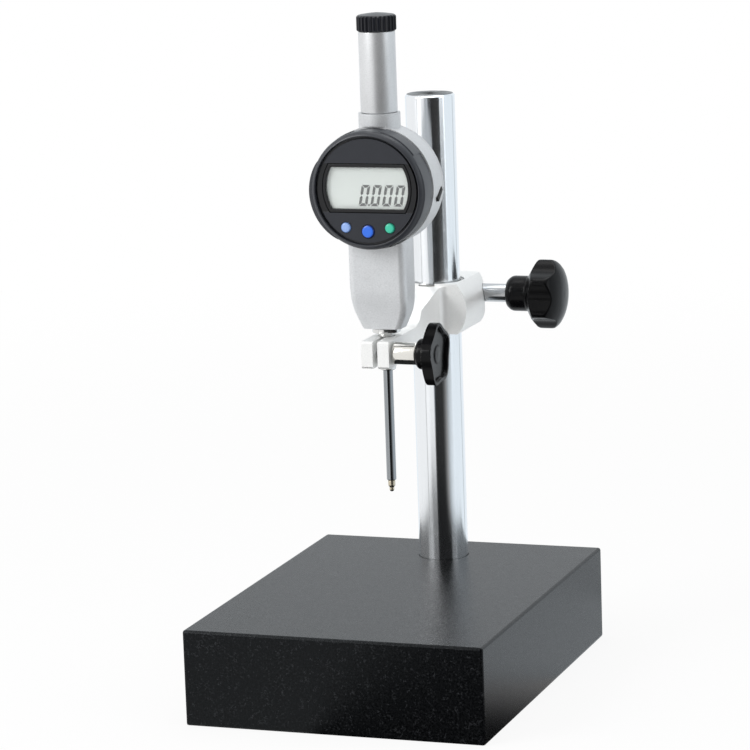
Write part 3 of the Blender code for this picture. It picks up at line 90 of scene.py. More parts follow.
# Node maths written as expressions: Value wraps a socket, in a shader or in a geometry tree
class Value:
    def __init__(self, tree, socket):
        self.tree, self.socket = tree, socket

    # one node of a kind, fed with the operands in the order of its inputs
    def made(self, kind, setting, choice, operands):
        node = self.tree.nodes.new(kind)
        setattr(node, setting, choice)
        for slot, item in zip(node.inputs, operands):
            plug(self.tree, slot, item)
        return Value(self.tree, node.outputs[0])

    def calc(self, operation, *others):
        return self.made("ShaderNodeMath", "operation", operation, (self, *others))

    def __add__(self, other):
        return self.calc("ADD", other)

    __radd__ = __add__

    def __sub__(self, other):
        return self.calc("SUBTRACT", other)

    def __rsub__(self, other):
        return self.made("ShaderNodeMath", "operation", "SUBTRACT", (other, self))

    def __mul__(self, other):
        return self.calc("MULTIPLY", other)

    __rmul__ = __mul__

    def __pow__(self, other):
        return self.calc("POWER", other)

    def __gt__(self, other):
        return self.calc("GREATER_THAN", other)

    def __lt__(self, other):
        return self.calc("LESS_THAN", other)

    def __abs__(self):
        return self.calc("ABSOLUTE")

    # 0 below low, 1 above high, smooth between
    def rise(self, low, high):
        return self.made("ShaderNodeMapRange", "interpolation_type", "SMOOTHSTEP", (self, low, high))


class Nodes:
    def __init__(self, tree):
        self.tree = tree

    # settings first, then sockets: by name with _ for a space, or by number as s3
    def add(self, kind, settings=None, output=0, **sockets):
        node = self.tree.nodes.new(kind)
        for name, item in (settings or {}).items():
            setattr(node, name, item)
        for name, item in sockets.items():
            numbered = name[0] == "s" and name[1:].isdigit()
            plug(self.tree, node.inputs[int(name[1:]) if numbered else name.replace("_", " ")], item)
        return Value(self.tree, node.outputs[output]) if node.outputs else None

    def axis(self, letter, place):
        return self.add("ShaderNodeSeparateXYZ", output="XYZ".index(letter), s0=place)

    def vector(self, operation, first, second):
        return self.add("ShaderNodeVectorMath", {"operation": operation}, s0=first, s1=second)

    def length(self, vector):
        return self.add("ShaderNodeVectorMath", {"operation": "LENGTH"}, output=1, s0=vector)

    def mix(self, first, second, share):
        return self.add("ShaderNodeMix", {"data_type": "RGBA"}, output=2, s0=share, s6=first, s7=second)


# a material's tree; centres and sizes are in millimetres
class Finish(Nodes):
    def __init__(self, name):
        self.material = bpy.data.materials.new(name)
        self.material.use_nodes = True
        super().__init__(self.material.node_tree)
        self.tree.nodes.clear()
        self.place = self.add("ShaderNodeTexCoord", output="Object")

    def moved(self, centre, stretch):
        near = self.vector("SUBTRACT", self.place, [part * mm for part in centre])
        return self.vector("MULTIPLY", near, stretch)

    # distance from a line through centre along the axis
    def fromAxis(self, letter, centre):
        stretch = [0 if letter == way else 1 / mm for way in "XYZ"]
        return self.length(self.moved(centre, stretch))

    def noise(self, size, detail, roughness, place=None):
        return self.add(
            "ShaderNodeTexNoise", Vector=place or self.place, Scale=1 / (size * mm),
            Detail=detail, Roughness=roughness,
        )

    def cells(self, size, output="Distance"):
        return self.add("ShaderNodeTexVoronoi", output=output, Vector=self.place, Scale=1 / (size * mm))

    def bump(self, height, depth):
        return self.add("ShaderNodeBump", Height=height, Distance=depth * mm, Strength=1.0)

    def close(self, colour, roughness, normal=None, **constants):
        if normal is not None:
            constants["Normal"] = normal
        shader = self.add("ShaderNodeBsdfPrincipled", Base_Color=colour, Roughness=roughness, **constants)
        self.add("ShaderNodeOutputMaterial", Surface=shader)
        return self.material


# a colour made darker or paler
def toned(colour, share, lift=0.0):
    return [min(1, part * share + lift) for part in colour]


# Finishes
def graniteFinish():
    finish = Finish("granite")
    grain = finish.noise(1.1, 5, 0.7)
    fine = finish.noise(0.55, 3, 0.65)
    cloud = finish.noise(14, 3, 0.5)
    base = finish.mix((0.001, 0.0012, 0.0015), (0.009, 0.0095, 0.0105), grain.rise(0.38, 0.72))
    base = finish.mix(base, (0.003, 0.0033, 0.0038), cloud.rise(0.4, 0.7) * 0.6)
    flake = finish.add("ShaderNodeSeparateColor", output=0, s0=finish.cells(1.3, "Color"))
    fleck = (flake > 0.9) * (finish.cells(1.3) < 0.3)
    base = finish.mix(base, (0.03, 0.0315, 0.034), fleck * 0.35)
    pale = finish.noise(2.2, 4, 0.7).rise(0.56, 0.7)
    base = finish.mix(base, (0.034, 0.0355, 0.039), pale * fine.rise(0.42, 0.6) * 0.8)
    rough = 0.16 + 0.2 * fine - 0.06 * fleck
    pits = finish.bump(grain * 0.6 + fine * 0.8, 0.05)
    return finish.close(base, rough, pits, Specular_IOR_Level=0.145, Specular_Tint=(0.9, 0.96, 1))


# drawn or turned metal: how far its marks run along the axis, and its end faces, dark in the middle, with a centre
# mark on the upper one; the end faces' darker colour, darkest in the middle, is painted reflection
turned = {
    "stretch": 0.04, "skin": 0.15, "markDepth": 1.5, "markRadius": 1.4, "rings": 18,
    "inner": 0.03, "outer": 0.3, "paleFrom": 1, "paleTo": 11,
}


def chromeFinish(name, colour, rough, axisLetter, centre=(0, 0, 0), ends=None, drawnShare=0.0):
    finish = Finish(name)
    t = turned
    stretch = [t["stretch"] if letter == axisLetter else 1 for letter in "XYZ"]
    drawn = finish.noise(0.9, 3, 0.6, finish.moved(centre, stretch))
    smear = finish.noise(22, 3, 0.6)
    handled = finish.noise(6, 4, 0.6).rise(0.55, 0.8)
    metal = finish.mix(colour, toned(colour, 0.9), drawn * 0.5)
    level = rough + 0.05 * drawn * smear + 0.05 * handled
    height = drawn * 0.3
    if ends:
        low, high = ends
        along = finish.axis(axisLetter, finish.place)
        away = finish.fromAxis(axisLetter, centre)
        mark = (along > (high - t["markDepth"]) * mm) * (away < t["markRadius"])
        faces = (along > (high - t["skin"]) * mm) + (along < (low + t["skin"]) * mm)
        end = faces.calc("MAXIMUM", mark)
        rings = (away * t["rings"]).calc("SINE") * 0.5 + 0.5
        level = level + end * (0.3 + 0.1 * rings)
        height = height + end * rings * 0.8
        # painted reflection: the end faces darker, darkest in the middle
        outward = away.rise(t["paleFrom"], t["paleTo"])
        paintedEndReflection = finish.mix(toned(colour, t["inner"]), toned(colour, t["outer"]), outward)
        metal = finish.mix(metal, paintedEndReflection, end)
    normal = finish.bump(height, 0.004)
    return finish.close(
        metal, level, normal, Metallic=1.0, Anisotropic=drawnShare, Anisotropic_Rotation=0.25
    )


def blastedFinish(name, colour, rough, grainSize, depth, metallic, tint=0.9):
    finish = Finish(name)
    grain = finish.noise(grainSize, 3, 0.6)
    dots = finish.cells(grainSize * 1.6)
    cloud = finish.noise(18, 3, 0.55)
    shade = finish.mix(colour, toned(colour, tint), cloud.rise(0.35, 0.7) * 0.6)
    shade = finish.mix(shade, toned(colour, 1.2), grain.rise(0.52, 0.72) * 0.6)
    shade = finish.mix(shade, toned(colour, 0.82), dots.rise(0.5, 0.8) * 0.4)
    level = rough + 0.1 * (grain - 0.5) + 0.06 * cloud
    return finish.close(shade, level, finish.bump(grain * 0.7 + dots * 0.5, depth), Metallic=metallic)


def mouldedFinish(name, colour, rough, grainSize, depth, wear=0.0, specular=0.5):
    finish = Finish(name)
    grain = finish.noise(grainSize, 2, 0.5)
    flow = finish.noise(9, 3, 0.6)
    shade = finish.mix(colour, toned(colour, 0.8, 0.002), flow)
    rub = finish.noise(3.2, 5, 0.7).rise(0.6, 0.82)
    if wear:
        shade = finish.mix(shade, toned(colour, 1.25, 0.015), rub * wear)
    level = rough + 0.05 * grain + 0.07 * rub
    return finish.close(shade, level, finish.bump(grain + flow * 0.3, depth), Specular_IOR_Level=specular)


# the front plate, with a darker glossy band across it at the window's height
def panelFinish():
    finish = Finish("panelPlastic")
    low, high = span("window_frame", "Z")
    edge = 0.1
    grain = finish.noise(0.12, 2, 0.5)
    flow = finish.noise(9, 3, 0.6)
    height = finish.axis("Z", finish.place)
    above = height.rise((low - edge) * mm, (low + edge) * mm)
    band = above * (1 - height.rise((high - edge) * mm, (high + edge) * mm))
    shade = finish.mix((0.024, 0.0265, 0.034), (0.019, 0.021, 0.027), flow)
    shade = finish.mix(shade, (0.006, 0.0065, 0.008), band)
    rough = 0.36 + 0.06 * grain - 0.1 * band
    return finish.close(shade, rough, finish.bump(grain * 0.05 - band, 0.12), Specular_IOR_Level=0.35)


# a key, with a darker ring that starts a little inside its edge: painted shade of the recess around the key
def keyFinish(name, colour, ring, centre, radius):
    finish = Finish(name)
    away = finish.fromAxis("Y", centre)
    grain = finish.noise(0.25, 2, 0.5)
    inner = finish.mix(colour, toned(colour, 0.86), grain)
    # painted shade: the darker ring where the key sits in its recess
    shade = finish.mix(inner, ring, away.rise(radius - 0.6, radius - 0.35))
    return finish.close(shade, 0.34 + 0.1 * grain, finish.bump(grain, 0.006), Coat_Weight=0.25)


# the display's plate: darker towards its top, which is painted shade, and black outside its visible round
screen = {"shadeFrom": 238, "shadeTo": 262, "centre": (0, 0, 249.8), "blackFrom": 20.6, "blackTo": 20.9}


def screenFinish():
    finish = Finish("displayScreen")
    # painted shade: the plate darker towards its top
    paintedTopShade = finish.axis("Z", finish.place).rise(screen["shadeFrom"] * mm, screen["shadeTo"] * mm)
    grain = finish.noise(0.09, 2, 0.5)
    cloud = finish.noise(9, 2, 0.5)
    shade = finish.mix((0.72, 0.765, 0.735), (0.63, 0.675, 0.65), paintedTopShade)
    shade = finish.mix(shade, (0.78, 0.82, 0.79), grain * 0.35 + cloud * 0.2)
    border = finish.fromAxis("Y", screen["centre"]).rise(screen["blackFrom"], screen["blackTo"])
    shade = finish.mix(shade, (0.02, 0.02, 0.022), border)
    return finish.close(shade, 0.42 + 0.1 * grain, finish.bump(grain, 0.002))


def inkFinish():
    finish = Finish("displayInk")
    grain = finish.noise(0.12, 2, 0.5)
    shade = finish.mix((0.012, 0.013, 0.013), (0.03, 0.032, 0.03), grain)
    return finish.close(shade, 0.35 + 0.1 * grain)


def lensFinish():
    finish = Finish("windowLens")
    wipe = finish.noise(5, 4, 0.6, finish.moved((0, 0, 0), (1, 1, 2.5)))
    shade = finish.mix((0.9, 0.93, 0.92), (0.82, 0.86, 0.86), wipe)
    return finish.close(shade, 0.03 + 0.05 * wipe, Alpha=0.1, IOR=1.5)


def boardFinish(name, colour, copper):
    finish = Finish(name)
    tracks = finish.cells(1.8).rise(0.42, 0.5)
    mesh = finish.noise(0.4, 2, 0.5)
    shade = finish.mix(colour, copper, tracks * 0.45)
    shade = finish.mix(shade, toned(colour, 0.6), mesh * 0.5)
    return finish.close(shade, 0.35 + 0.2 * mesh, finish.bump(tracks, 0.02))


finishes = {
    "granite": graniteFinish(),
    "column": chromeFinish("chrome", (0.86, 0.885, 0.91), 0.15, "Z", axes["column"], span("column", "Z"), 0.95),
    "spindle": chromeFinish(
        "spindleSteel", (0.33, 0.348, 0.365), 0.14, "Z", axes["gauge"], span("spindle", "Z"), 0.8
    ),
    "stem": chromeFinish("stemSteel", (0.74, 0.74, 0.73), 0.17, "Z", axes["gauge"], span("stem", "Z")),
    "steel": chromeFinish("steel", (0.55, 0.555, 0.56), 0.24, "Z"),
    "stud": chromeFinish("studSteel", (0.6, 0.61, 0.62), 0.2, "X", axes["lock"]),
    "spacer": chromeFinish("spacerSteel", (0.55, 0.56, 0.57), 0.18, "X", axes["lock"]),
    "collar": chromeFinish("warmNickel", (0.8, 0.785, 0.74), 0.14, "X", axes["clamp"]),
    "arm": blastedFinish("satinAluminium", (0.95, 0.955, 0.945), 0.4, 0.22, 0.012, 0.35, 0.95),
    "body": blastedFinish("silverPaint", (0.66, 0.675, 0.69), 0.42, 0.45, 0.02, 0.4),
    "tube": blastedFinish("tubeAluminium", (0.68, 0.69, 0.7), 0.34, 0.3, 0.01, 0.65),
    "sleeve": blastedFinish("sleeveSteel", (0.4, 0.4, 0.39), 0.35, 0.3, 0.01, 1.0),
    "knob": mouldedFinish("glossBlack", (0.003, 0.003, 0.0035), 0.19, 0.8, 0.006, 0.05, 0.13),
    "bezel": mouldedFinish("bezelPlastic", (0.03, 0.033, 0.041), 0.36, 0.16, 0.01, 0.3),
    "panel": panelFinish(),
    "window": mouldedFinish("windowPlastic", (0.006, 0.0065, 0.008), 0.22, 0.3, 0.003, 0.1, 0.35),
    "cap": mouldedFinish("capPlastic", (0.008, 0.0092, 0.014), 0.27, 0.18, 0.01, 0.3, 0.45),
    "tray": mouldedFinish("trayPlastic", (0.022, 0.023, 0.027), 0.42, 0.16, 0.01, 0.3),
    "rubber": mouldedFinish("portRubber", (0.012, 0.012, 0.012), 0.6, 0.2, 0.012, 0.3),
    "carrier": mouldedFinish("carrierPlastic", (0.06, 0.06, 0.065), 0.5, 0.3, 0.01),
    "bush": blastedFinish("bushBrass", (0.72, 0.56, 0.3), 0.28, 0.3, 0.006, 1.0),
    "point": blastedFinish("pointBrass", (0.62, 0.56, 0.44), 0.24, 0.12, 0.006, 1.0),
    "scale": blastedFinish("scaleGlass", (0.5, 0.56, 0.55), 0.15, 0.6, 0.002, 0.0),
    "board": boardFinish("displayBoard", (0.02, 0.14, 0.06), (0.5, 0.33, 0.12)),
    "screen": screenFinish(),
    "ink": inkFinish(),
    "lens": lensFinish(),
    "leftKey": keyFinish("paleBlueKey", (0.3, 0.46, 0.86), (0.16, 0.28, 0.6), (-11.1, 0, 230.8), 2.45),
    "centreKey": keyFinish("blueKey", (0.02, 0.16, 0.82), (0.006, 0.03, 0.2), (0, 0, 229), 3.15),
    "rightKey": keyFinish("greenKey", (0.04, 0.58, 0.38), (0.015, 0.3, 0.2), (11.1, 0, 230.8), 2.45),
}
print("finishes made:", len(finishes))


# Builders: what a mesh is welded and smoothed by, and how corners are rounded
meshRules = {"weld": 0.0005, "merge": 0.002, "flatAngle": 0.6, "smoothAngle": 32, "onAxis": 1e-6}
corner = {"parts": 4, "share": 0.49}  # share: the most that a rounding takes of an edge


def addMesh(name, points, faces):
    mesh = bpy.data.meshes.new(name)
    mesh.from_pydata([tuple(part * mm for part in point) for point in points], [], faces)
    piece = bpy.data.objects.new(name, mesh)
    bpy.context.scene.collection.objects.link(piece)
    return piece


# a box from its eight corners
def addBox(name, corners):
    sides = [(0, 1, 3, 2), (4, 6, 7, 5), (0, 4, 5, 1), (2, 3, 7, 6), (0, 2, 6, 4), (1, 5, 7, 3)]
    return addMesh(name, corners, sides)


def closeUp(piece, finish):
    shape = bmesh.new()
    shape.from_mesh(piece.data)
    bmesh.ops.remove_doubles(shape, verts=shape.verts, dist=meshRules["weld"] * mm)
    bmesh.ops.recalc_face_normals(shape, faces=shape.faces)
    shape.to_mesh(piece.data)
    shape.free()
    piece.data.materials.clear()
    piece.data.materials.append(finish)
    for face in piece.data.polygons:
        face.use_smooth = True
    piece.data.set_sharp_from_angle(angle=math.radians(meshRules["smoothAngle"]))
    return piece


def dress(piece, body, slot, *replaced):
    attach(piece, body)
    if replaced:
        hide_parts(*replaced)


# a profile's corners, rounded by each point's third number
def softened(profile, closed=False):
    count, parts = len(profile), corner["parts"]
    line = []
    for i, point in enumerate(profile):
        radius = point[2] if len(point) > 2 else 0
        inside = closed or 0 < i < count - 1
        here = Vector(point[:2])
        if not radius or not inside:
            line.append(tuple(here))
            continue
        before = Vector(profile[i - 1][:2]) - here
        after = Vector(profile[(i + 1) % count][:2]) - here
        start = here + before.normalized() * min(radius, before.length * corner["share"])
        end = here + after.normalized() * min(radius, after.length * corner["share"])
        for step in range(parts + 1):
            t = step / parts
            line.append(tuple(start * (1 - t) ** 2 + here * (2 * t * (1 - t)) + end * t**2))
    return line


# a profile of radius, height and rounding, turned about an axis
def spun(name, axis, centre, profile, steps, closed=False):
    line = softened(profile, closed)
    points, rows, faces = [], [], []
    for radius, height in line:
        row = []
        for step in range(1 if radius < meshRules["onAxis"] else steps):
            angle = 2 * math.pi * step / steps
            u, v = radius * math.cos(angle), radius * math.sin(angle)
            spot = {"X": (height, u, v), "Y": (u, height, v), "Z": (u, v, height)}[axis]
            row.append(len(points))
            points.append(tuple(a + b for a, b in zip(spot, centre)))
        rows.append(row)
    pairs = list(zip(rows, rows[1:])) + ([(rows[-1], rows[0])] if closed else [])
    for low, high in pairs:
        if len(low) == len(high) == 1:
            continue
        for i in range(steps):
            j = (i + 1) % steps
            corners = [low[i % len(low)], low[j % len(low)], high[j % len(high)], high[i % len(high)]]
            faces.append(list(dict.fromkeys(corners)))
    return addMesh(name, points, faces)


# makes the piece's one modifier part of its mesh
def settled(piece):
    ready = piece.evaluated_get(bpy.context.evaluated_depsgraph_get())
    piece.data = bpy.data.meshes.new_from_object(ready)
    piece.modifiers.clear()
    return piece


# a CAD node's copy, merged, with its edges rounded
def refined(node, finish, edge, segments=2, angle=40):
    piece = bpy.data.objects.new(node + "Fine", nodes[node].data.copy())
    bpy.context.scene.collection.objects.link(piece)
    shape = bmesh.new()
    shape.from_mesh(piece.data)
    bmesh.ops.remove_doubles(shape, verts=shape.verts, dist=meshRules["merge"] * mm)
    flat = math.radians(meshRules["flatAngle"])
    bmesh.ops.dissolve_limit(shape, angle_limit=flat, verts=shape.verts, edges=shape.edges)
    shape.to_mesh(piece.data)
    shape.free()
    rounding = piece.modifiers.new("rounding", "BEVEL")
    rounding.width = edge * mm
    rounding.segments = segments
    rounding.limit_method = "ANGLE"
    rounding.angle_limit = math.radians(angle)
    rounding.use_clamp_overlap = True
    return flatFaces(closeUp(settled(piece), finish))


# keeps the shading of large flat faces flat beside their rounded edges
def flatFaces(piece):
    change = piece.modifiers.new("flatFaces", "WEIGHTED_NORMAL")
    change.keep_sharp = True
    change.weight = 100  # faces count by their area
    return settled(piece)


def carve(piece, cutter):
    change = piece.modifiers.new("carve", "BOOLEAN")
    change.operation, change.object, change.solver = "DIFFERENCE", cutter, "EXACT"
    settled(piece)
    bpy.data.objects.remove(cutter, do_unlink=True)


# Geometry trees: named number inputs, ending in Realize Instances and Set Material
class Tree(Nodes):
    def __init__(self, name, sizes, finish):
        super().__init__(bpy.data.node_groups.new(name, "GeometryNodeTree"))
        self.finish = finish
        self.sizes = sizes
        face = self.tree.interface
        face.new_socket("Shape", in_out="INPUT", socket_type="NodeSocketGeometry")
        self.sockets = {
            label: face.new_socket(label, in_out="INPUT", socket_type="NodeSocketFloat") for label in sizes
        }
        face.new_socket("Shape", in_out="OUTPUT", socket_type="NodeSocketGeometry")
        self.start = self.tree.nodes.new("NodeGroupInput")

    def given(self, label):
        return Value(self.tree, self.start.outputs[label])

    def finishOn(self, piece, shape):
        real = self.add("GeometryNodeRealizeInstances", Geometry=shape)
        dressed = self.add("GeometryNodeSetMaterial", Geometry=real, Material=self.finish)
        self.add("NodeGroupOutput", s0=dressed)
        change = piece.modifiers.new(self.tree.name, "NODES")
        change.node_group = self.tree
        for label, size in self.sizes.items():
            change[self.sockets[label].identifier] = float(size)
        closeUp(settled(piece), self.finish)


# a round body cut to a star's outline: no point stays outside it, less the inset kept on the mesh
def lobed(piece, insets, finish, radius, outline, soft):
    marks = piece.data.attributes.new("inset", "FLOAT", "POINT")
    marks.data.foreach_set("value", [part * mm for part in insets])
    sizes = {"Radius": radius * mm, "Lobes": outline["lobes"], "Valley": outline["valley"] * mm}
    sizes.update({"Power": outline["power"], "First": math.radians(outline["firstLobe"]), "Soft": soft * mm})
    tree = Tree("lobes", sizes, finish)
    place = tree.add("GeometryNodeInputPosition")
    x, y = tree.axis("X", place), tree.axis("Y", place)
    bearing = y.calc("ARCTAN2", x) - tree.given("First")
    dip = abs((bearing * tree.given("Lobes") * 0.5).calc("SINE")) ** tree.given("Power")
    inset = tree.add("GeometryNodeInputNamedAttribute", {"data_type": "FLOAT"}, Name="inset")
    limit = tree.given("Radius") - dip * tree.given("Valley") - inset
    flat = tree.vector("MULTIPLY", place, (1, 1, 0))
    reach = tree.length(flat)
    outward = tree.add("ShaderNodeVectorMath", {"operation": "NORMALIZE"}, s0=flat)
    kept = reach.calc("SMOOTH_MIN", limit, tree.given("Soft"))
    inward = tree.add("ShaderNodeVectorMath", {"operation": "SCALE"}, s0=outward, Scale=kept - reach)
    shaped = tree.add("GeometryNodeSetPosition", Geometry=tree.given("Shape"), Offset=inward)
    tree.finishOn(piece, shaped)


# copies of one small shape on a circle about Z
def ringed(piece, finish, count, radius, start):
    tree = Tree("ring", {"Count": count, "Radius": radius * mm, "Start": start}, finish)
    circle = tree.add("GeometryNodeMeshCircle", Vertices=tree.given("Count"), Radius=tree.given("Radius"))
    spin = tree.add("ShaderNodeCombineXYZ", Z=tree.given("Start"))
    spots = tree.add("GeometryNodeTransform", Geometry=circle, Rotation=spin)
    copies = tree.add("GeometryNodeInstanceOnPoints", Points=spots, Instance=tree.given("Shape"))
    tree.finishOn(piece, copies)


# copies of one small shape along X
def rowed(piece, finish, count, pitch, start):
    tree = Tree("row", {"Count": count, "Pitch": pitch * mm, "Start": start * mm}, finish)
    step = tree.add("ShaderNodeCombineXYZ", X=tree.given("Pitch"))
    first = tree.add("ShaderNodeCombineXYZ", X=tree.given("Start"))
    line = tree.add("GeometryNodeMeshLine", Count=tree.given("Count"), Start_Location=first, Offset=step)
    copies = tree.add("GeometryNodeInstanceOnPoints", Points=line, Instance=tree.given("Shape"))
    tree.finishOn(piece, copies)


# turns a piece made about Z to lie about another axis, and puts it in its place
def placed(piece, axis, centre):
    turn = {
        "X": Matrix(((0, 0, 1), (1, 0, 0), (0, 1, 0))),
        "Y": Matrix(((1, 0, 0), (0, 0, 1), (0, 1, 0))),
        "Z": Matrix.Identity(3),
    }[axis]
    piece.data.transform(Matrix.Translation(Vector(centre) * mm) @ turn.to_4x4())
    closeUp(piece, piece.data.materials[0])


# a knob's turned body about Z, from points of radius, height, rounding and inset, with rings at most a step apart
def knobBody(name, profile, steps, step=0.7):
    line, insets = [], []
    for i, (radius, height, rounding, inset) in enumerate(profile):
        before, after = profile[max(i - 1, 0)][:2], profile[min(i + 1, len(profile) - 1)][:2]
        for spot in softened([before, (radius, height, rounding), after])[1:-1]:
            if line:
                start, lastInset = Vector(line[-1]), insets[-1]
                gap = Vector(spot) - start
                parts = max(1, math.ceil(gap.length / step))
                for k in range(1, parts):
                    line.append(tuple(start + gap * k / parts))
                    insets.append(lastInset + (inset - lastInset) * k / parts)
            line.append(tuple(spot))
            insets.append(inset)
    piece = spun(name, "Z", (0, 0, 0), line, steps)
    spread = []
    for (radius, _), inset in zip(line, insets):
        spread += [inset] * (1 if radius < meshRules["onAxis"] else steps)
    return piece, spread


# Column
column = {"radius": 12.5, "chamfer": 1, "boltHole": 4.3, "holeDepth": 18.3, "centreMark": 1.3, "steps": 128}


def addColumn():
    low, high = span("column", "Z")
    k = column
    radius, chamfer, hole, mark = k["radius"], k["chamfer"], k["boltHole"], k["centreMark"]
    profile = [
        (hole, low),
        (radius - chamfer, low, 0.3),
        (radius, low + chamfer, 0.3),
        (radius, high - chamfer, 0.4),
        (radius - chamfer, high, 0.3),
        (mark, high, 0.15),
        (0, high - mark),
        (0, low + k["holeDepth"]),
        (hole, low + k["holeDepth"]),
    ]
    piece = spun("columnFine", "Z", axes["column"], profile, k["steps"], closed=True)
    dress(closeUp(piece, finishes["column"]), "base", "chrome", "column")


# Arm and the two locks
lock = {
    "hub": 9, "hubLength": 11, "flare": 2.3, "star": 17.75, "thickness": 14.5, "dome": 4.5, "steps": 210,
    "lobes": 6, "firstLobe": 90, "valley": 3.4, "power": 1.4, "bore": 3.3, "boreDepth": 14.3,
    "spacer": 4.65, "stud": 3, "studEnd": 0.6,
}
clamp = {
    "hub": 7.5, "hubLength": 4.2, "flare": 1.1, "star": 15.8, "thickness": 6.9, "steps": 200,
    "lobes": 5, "firstLobe": 94, "valley": 2.5, "power": 1.4, "rim": 1.5, "dish": 1.6, "button": 4.6,
    "bore": 2.8, "boreDepth": 7.5, "collar": 5.5, "screw": 2.5, "screwEnd": 0.6,
}


def addArm():
    dress(refined("arm", finishes["arm"], 0.55, 3, 28), "arm", "satin_aluminium", "arm")


def addLock():
    low, _ = span("lock_knob", "X")
    k = lock
    star = k["hubLength"]
    top = star + k["thickness"]
    profile = [
        (0, k["boreDepth"], 0, 0),
        (k["bore"], k["boreDepth"], 0, 0),
        (k["bore"], 0, 0.2, 0),
        (k["hub"] * 0.78, 0, 0.5, 0),
        (k["hub"], k["flare"], 1.6, 0),
        (k["hub"], star, 0.8, 0),
        (k["star"] * 0.97, star + k["thickness"] * 0.34, 0.8, 0),
        (k["star"], star + k["thickness"] * 0.42, 1.2, 0),
        (k["star"], top - 2, 1.6, 0),
        (k["star"] * 0.9, top + 0.4, 1.5, 0),
        (k["star"] * 0.66, top + k["dome"] * 0.62, 3, 0),
        (k["star"] * 0.36, top + k["dome"] * 0.92, 3, 0),
        (0, top + k["dome"], 0, 0),
    ]
    knob, insets = knobBody("lockKnobFine", profile, k["steps"])
    lobed(knob, insets, finishes["knob"], k["star"], k, 0.8)
    placed(knob, "X", (low, *axes["lock"][1:]))
    dress(knob, "lock_knob", "black_plastic", "lock_knob")

    low, high = span("lock_spacer", "X")
    inner, outer = k["bore"], k["spacer"]
    profile = [(inner, low, 0.2), (outer, low, 0.4), (outer, high, 0.4), (inner, high, 0.2)]
    spacer = spun("lockSpacerFine", "X", axes["lock"], profile, 64, closed=True)
    dress(closeUp(spacer, finishes["spacer"]), "lock_spacer", "chrome", "lock_spacer")
    low, high = span("lock_stud", "X")
    radius, end = k["stud"], k["studEnd"]
    profile = [(0, low), (radius - end, low, 0.2), (radius, low + end, 0.2), (radius, high, 0.4), (0, high)]
    stud = spun("lockStudFine", "X", axes["lock"], profile, 48)
    dress(closeUp(stud, finishes["stud"]), "lock_knob", "steel", "lock_stud")


def addClamp():
    low, _ = span("clamp_knob", "X")
    k = clamp
    star = k["hubLength"]
    top = star + k["thickness"]
    profile = [
        (0, k["boreDepth"], 0, 0),
        (k["bore"], k["boreDepth"], 0, 0),
        (k["bore"], 0, 0.2, 0),
        (k["hub"] * 0.86, 0, 0.5, 0),
        (k["hub"], k["flare"], 0.8, 0),
        (k["hub"], star, 0.6, 0),
        (k["star"], star + k["thickness"] * 0.3, 0.9, 0),
        (k["star"], top, 0.5, 0),
        (k["star"] - k["rim"], top, 0.35, k["rim"]),
        (k["star"] - k["rim"] - 0.5, top - k["dish"], 0.6, k["rim"] + 0.5),
        (k["button"], top - k["dish"] - 0.15, 0.4, 0),
        (k["button"] - 0.4, top - k["dish"] + 0.35, 0.3, 0),
        (0, top - k["dish"] + 0.5, 0, 0),
    ]
    knob, insets = knobBody("clampKnobFine", profile, k["steps"])
    lobed(knob, insets, finishes["knob"], k["star"], k, 0.5)
    placed(knob, "X", (low, *axes["clamp"][1:]))
    dress(knob, "clamp_knob", "black_plastic", "clamp_knob")

    low, high = span("clamp_collar", "X")
    inner, outer = k["bore"], k["collar"]
    profile = [(inner, low, 0.2), (outer, low, 0.5), (outer, high, 0.5), (inner, high, 0.2)]
    collar = spun("clampCollarFine", "X", axes["clamp"], profile, 64, closed=True)
    dress(closeUp(collar, finishes["collar"]), "clamp_collar", "nickel", "clamp_collar")
    low, high = span("clamp_screw", "X")
    radius, end = k["screw"], k["screwEnd"]
    profile = [(0, low), (radius - end, low, 0.2), (radius, low + end, 0.2), (radius, high, 0.3), (0, high)]
    screw = spun("clampScrewFine", "X", axes["clamp"], profile, 48)
    dress(closeUp(screw, finishes["stud"]), "clamp_knob", "steel", "clamp_screw")


# Housing, stem, tube and cap
stem = {"radius": 4, "flange": 7, "flangeLow": 176.6, "flangeHigh": 178.9, "bore": 2.7}
tube = {"foot": 7.9, "step": 284, "radius": 8.9, "bore": 7.2}
cap = {
    "radius": 9.65, "lobes": 28, "firstLobe": 0, "valley": 0.85, "power": 0.8, "lobeSteps": 12,
    "peak": 1.1, "chamfer": 0.9, "bore": 4.4, "boreDepth": 6, "plug": 6.9, "lip": 0.45,
}


def addHousing():
    dress(refined("gauge_case", finishes["body"], 0.5), "gauge", "silver_paint", "gauge_case")
    dress(refined("back_cover", finishes["body"], 0.35), "gauge", "silver_paint", "back_cover")
    dress(refined("data_port", finishes["rubber"], 0.25), "gauge", "rubber", "data_port")

    low, high = span("stem", "Z")
    k = stem
    radius, flange, bore, seat, shoulder = k["radius"], k["flange"], k["bore"], k["flangeLow"], k["flangeHigh"]
    profile = [
        (radius, low + 0.3, 0.3), (radius, seat, 0.15), (flange, seat, 0.35), (flange, shoulder, 0.35),
        (radius, shoulder, 0.1), (radius, high, 0.2), (bore, high, 0.1), (bore, low, 0.1),
        (radius - 0.3, low, 0.2),
    ]
    piece = spun("stemFine", "Z", axes["gauge"], profile, 64, closed=True)
    dress(closeUp(piece, finishes["stem"]), "gauge", "steel", "stem")

    low, high = span("top_tube", "Z")
    foot, step, radius, bore = tube["foot"], tube["step"], tube["radius"], tube["bore"]
    profile = [
        (foot, low, 0.2), (foot, step, 0.05), (radius, step, 0.25), (radius, high, 0.2),
        (bore, high, 0.2), (bore, low, 0.1),
    ]
    piece = spun("topTubeFine", "Z", axes["gauge"], profile, 96, closed=True)
    dress(closeUp(piece, finishes["tube"]), "gauge", "silver_paint", "top_tube")
    addCap()
    addCoverScrews()


